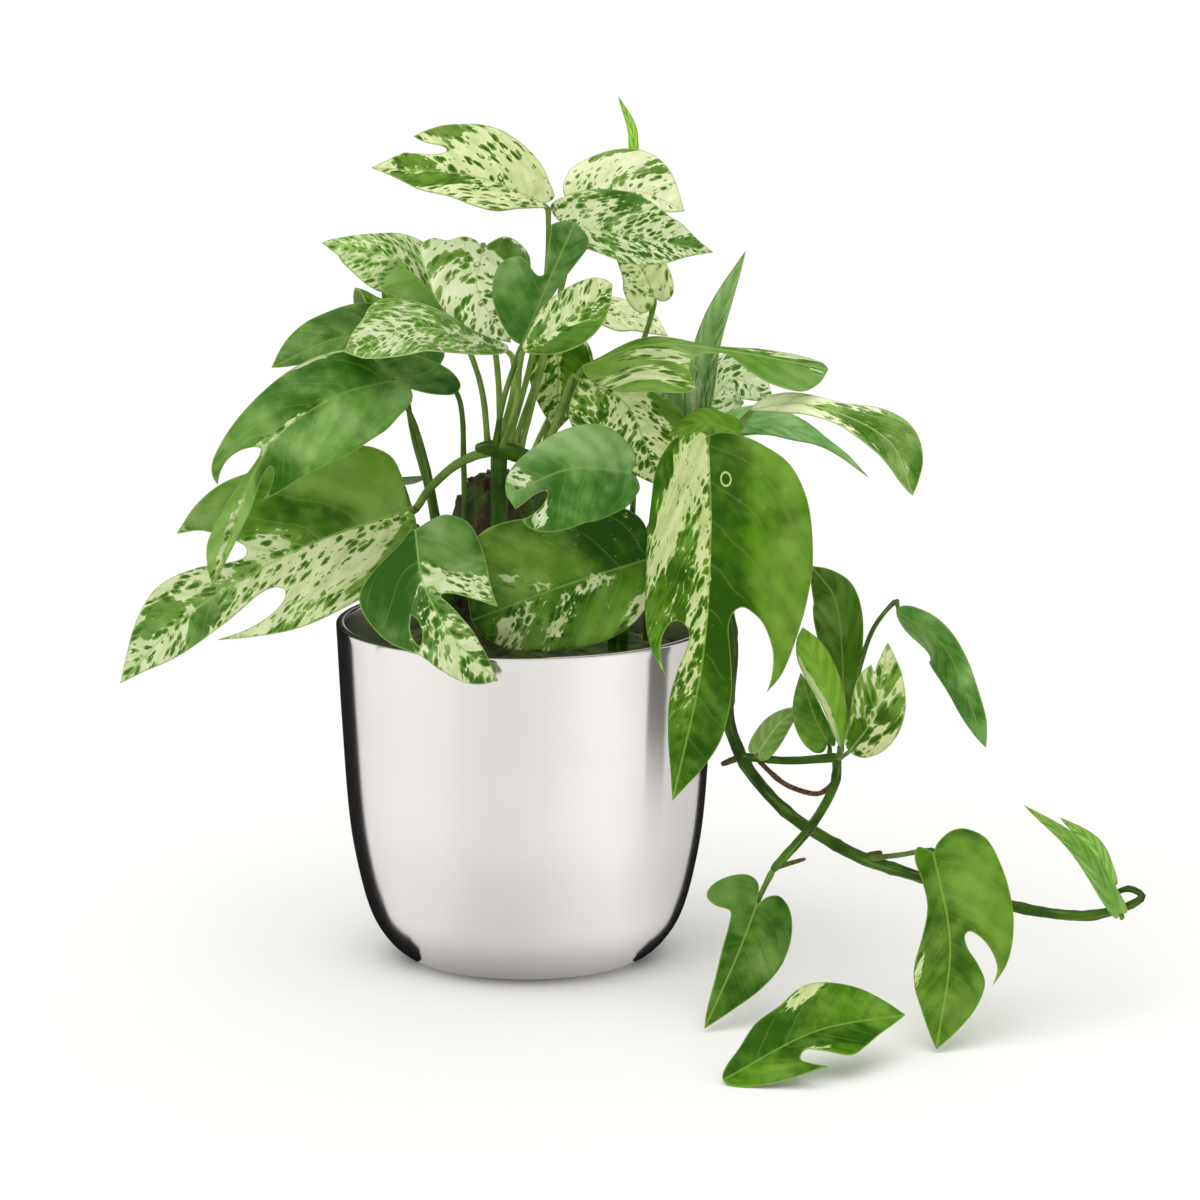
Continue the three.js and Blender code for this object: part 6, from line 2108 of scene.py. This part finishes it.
@dataclass(frozen=True)
class Studio:
    """The floor, the flags and the screen that darken the metal, the dome, the lights and the camera.

    Attributes:
        target: the point that the camera looks at, in metres.
        elevation: degrees that it looks down.
        distance: from the target in metres.
        lens: focal length in millimetres on a 36 mm sensor.
        reach: millimetres from the middle to the floor's sides.
        far: the dome's radius in millimetres.
    """

    target: tuple[float, float, float] = (0.037, 0.0, 0.182)
    elevation: float = 11.4
    distance: float = 2.6
    lens: float = 156.0
    reach: float = 15000.0
    far: float = 14000.0

    def build(self, groups: Groups) -> None:
        """Sets the whole stage.

        Args:
            groups: the shared node groups.
        """
        self.floor(ClothFinish(groups, "pale_floor", (3.0, 200.0), "faf9f7", "fbfaf8").material)
        black = ClothFinish(groups, "black_flag", (2.0, 80.0), "161514", "1f1e1d").material
        grey = ClothFinish(groups, "grey_flag", (2.0, 80.0), "716e6b", "7d7a77").material
        self.flag("left_flag", DARK_STRIP, (-1.0, 1.0), black)
        self.flag("right_flag", DARK_STRIP, (1.0, 0.8), black)
        self.screen("grey_flag", (60, -55), (-102, -84), ((300.0, 20.0), (300.0, 400.0)), grey)
        self.dome(DomeFinish(groups).material)
        self.world()
        self.sun("key_light", (-0.8, -1.0, 2.4), 80.0, 1.25)
        self.sun("top_light", (0.5, 1.5, 1.7), 60.0, 0.45)
        self.camera()

    def dome(self, material: Material) -> None:
        """A white dome and cloth on the floor round the pot, which only glossy rays see.

        Args:
            material: its light.
        """
        sides, above = 24, 0.4
        turns = np.radians(np.arange(0, 360, 360 // sides))
        tilts = np.radians(np.arange(0, 90, 15))
        ring = np.stack([np.cos(turns), np.sin(turns)], axis=1)
        rows = [(self.far * math.cos(t), self.far * math.sin(t) + above) for t in tilts]
        rows = [(53.5, above), (300.0, above), *rows]
        points = [np.column_stack([ring * radius, np.full(sides, height)]) for radius, height in rows]
        last = sides * (len(rows) - 1)
        faces = [ring_faces(len(rows), sides, inward=True), fan(last + sides, last, sides, inward=True)]
        points = np.concatenate([*points, [[0.0, 0.0, self.far]]])
        self.only_reflected(new_object("white_dome", points, faces, [material]))

    @staticmethod
    def only_reflected(piece: bpy.types.Object) -> None:
        """The piece belongs to the stage, and only glossy rays see it.

        Args:
            piece: cloth, or the dome.
        """
        piece.visible_camera = False
        piece.visible_diffuse = False
        piece.visible_transmission = False
        piece.visible_shadow = False

    def floor(self, material: Material) -> None:
        """A level floor far larger than the view."""
        corners = np.array([[-1, -1, 0], [1, -1, 0], [1, 1, 0], [-1, 1, 0]]) * self.reach
        new_object("floor", corners, [np.array([[0, 1, 2, 3]])], [material])

    @staticmethod
    def flag(name: str, strip: Array, fit: Point, material: Material) -> None:
        """Cloth on the floor behind one side of the pot that then stands up far away.

        Args:
            name: the object's name.
            strip: x and y of its near side, then x and y of its far side, in rows from the pot outwards.
            fit: 1 for the right side or -1 for the left, and how far its far side reaches, 1 for whole.
            material: its cloth.
        """
        near, far = strip[:, :2], strip[:, :2] + (strip[:, 2:] - strip[:, :2]) * fit[1]
        count = len(strip)
        flat = np.concatenate([near, near[-1:], far, far[-1:]]) * np.array([fit[0], 1.0])
        high = np.full(len(flat), 0.8)
        high[[count, 2 * count + 1]] = 2600.0
        k = np.arange(count)
        faces = [np.stack([k, k + 1, k + count + 2, k + count + 1], 1)]
        Studio.only_reflected(new_object(name, np.column_stack([flat, high]), faces, [material]))

    @staticmethod
    def screen(name: str, apex: Point, turns: Point, rows: tuple[Point, ...], material: Material) -> None:
        """Cloth bent round a point, which dims a strip of the metal and nothing else.

        Args:
            name: the object's name.
            apex: the point that it is bent round.
            turns: degrees from straight back, anticlockwise, where it starts and ends.
            rows: distance from the point and height of each of its rows.
            material: its cloth.
        """
        count = 24
        angle = np.radians(90 + np.linspace(*turns, count + 1))
        points = [
            np.column_stack([apex[0] + radius * np.cos(angle), apex[1] + radius * np.sin(angle),
                             np.full(count + 1, height)])
            for radius, height in rows
        ]
        k = np.arange(count)
        faces = [np.stack([k, k + 1, k + count + 2, k + count + 1], 1)]
        Studio.only_reflected(new_object(name, np.concatenate(points), faces, [material]))

    @staticmethod
    def world() -> None:
        """An even white sky."""
        world = bpy.data.worlds.new("studio")
        world.use_nodes = True
        background = world.node_tree.nodes["Background"]
        background.inputs["Color"].default_value = (1.0, 0.995, 0.985, 1.0)
        background.inputs["Strength"].default_value = 0.66
        bpy.context.scene.world = world
        bpy.context.scene.view_settings.view_transform = "Standard"

    @staticmethod
    def sun(name: str, place: Point, spread: float, strength: float) -> None:
        """A broad soft light from one direction.

        Args:
            name: the object's name.
            place: a point on the line that the light comes along.
            spread: degrees across its source.
            strength: in watts on a square metre.
        """
        data = bpy.data.lights.new(name, "SUN")
        data.angle = math.radians(spread)
        data.energy = strength
        made = bpy.data.objects.new(name, data)
        made.location = place
        made.rotation_euler = (-Vector(place)).to_track_quat("-Z", "Y").to_euler()
        bpy.context.scene.collection.objects.link(made)

    def camera(self) -> None:
        """The camera at the photograph's angle."""
        data = bpy.data.cameras.new("camera")
        data.lens = self.lens
        data.sensor_width = 36.0
        data.clip_end = 60.0
        made = bpy.data.objects.new("camera", data)
        tilt = math.radians(self.elevation)
        target = Vector(self.target)
        place = target + Vector((0, -math.cos(tilt), math.sin(tilt))) * self.distance
        made.location = place
        made.rotation_euler = (target - place).to_track_quat("-Z", "Y").to_euler()
        bpy.context.scene.collection.objects.link(made)
        bpy.context.scene.camera = made


def main() -> None:
    """Builds the plant, its pot and the stage, in order."""
    logging.basicConfig(level=logging.INFO, format="%(name)s %(message)s")
    groups = Groups()
    Pot().build(MetalFinish(groups))
    Mix().build(SoilFinish(groups))
    stems = StemFinish(groups)
    foliage = Foliage(groups)
    for key, blades, light in (
        ("crown", CROWN_BLADES, 0.6), ("left", LEFT_BLADES, 0.35), ("right", RIGHT_BLADES, 0.5),
        ("vine", VINE_BLADES, 0.4),
    ):
        StemGroup(key, blades, light).build(stems)
        foliage.build(blades, mirrored=key in MIRRORED)
    foliage.build((FALLEN_BLADE,), mirrored=False)
    Studio().build(groups)


if __name__ == "__main__":
    main()
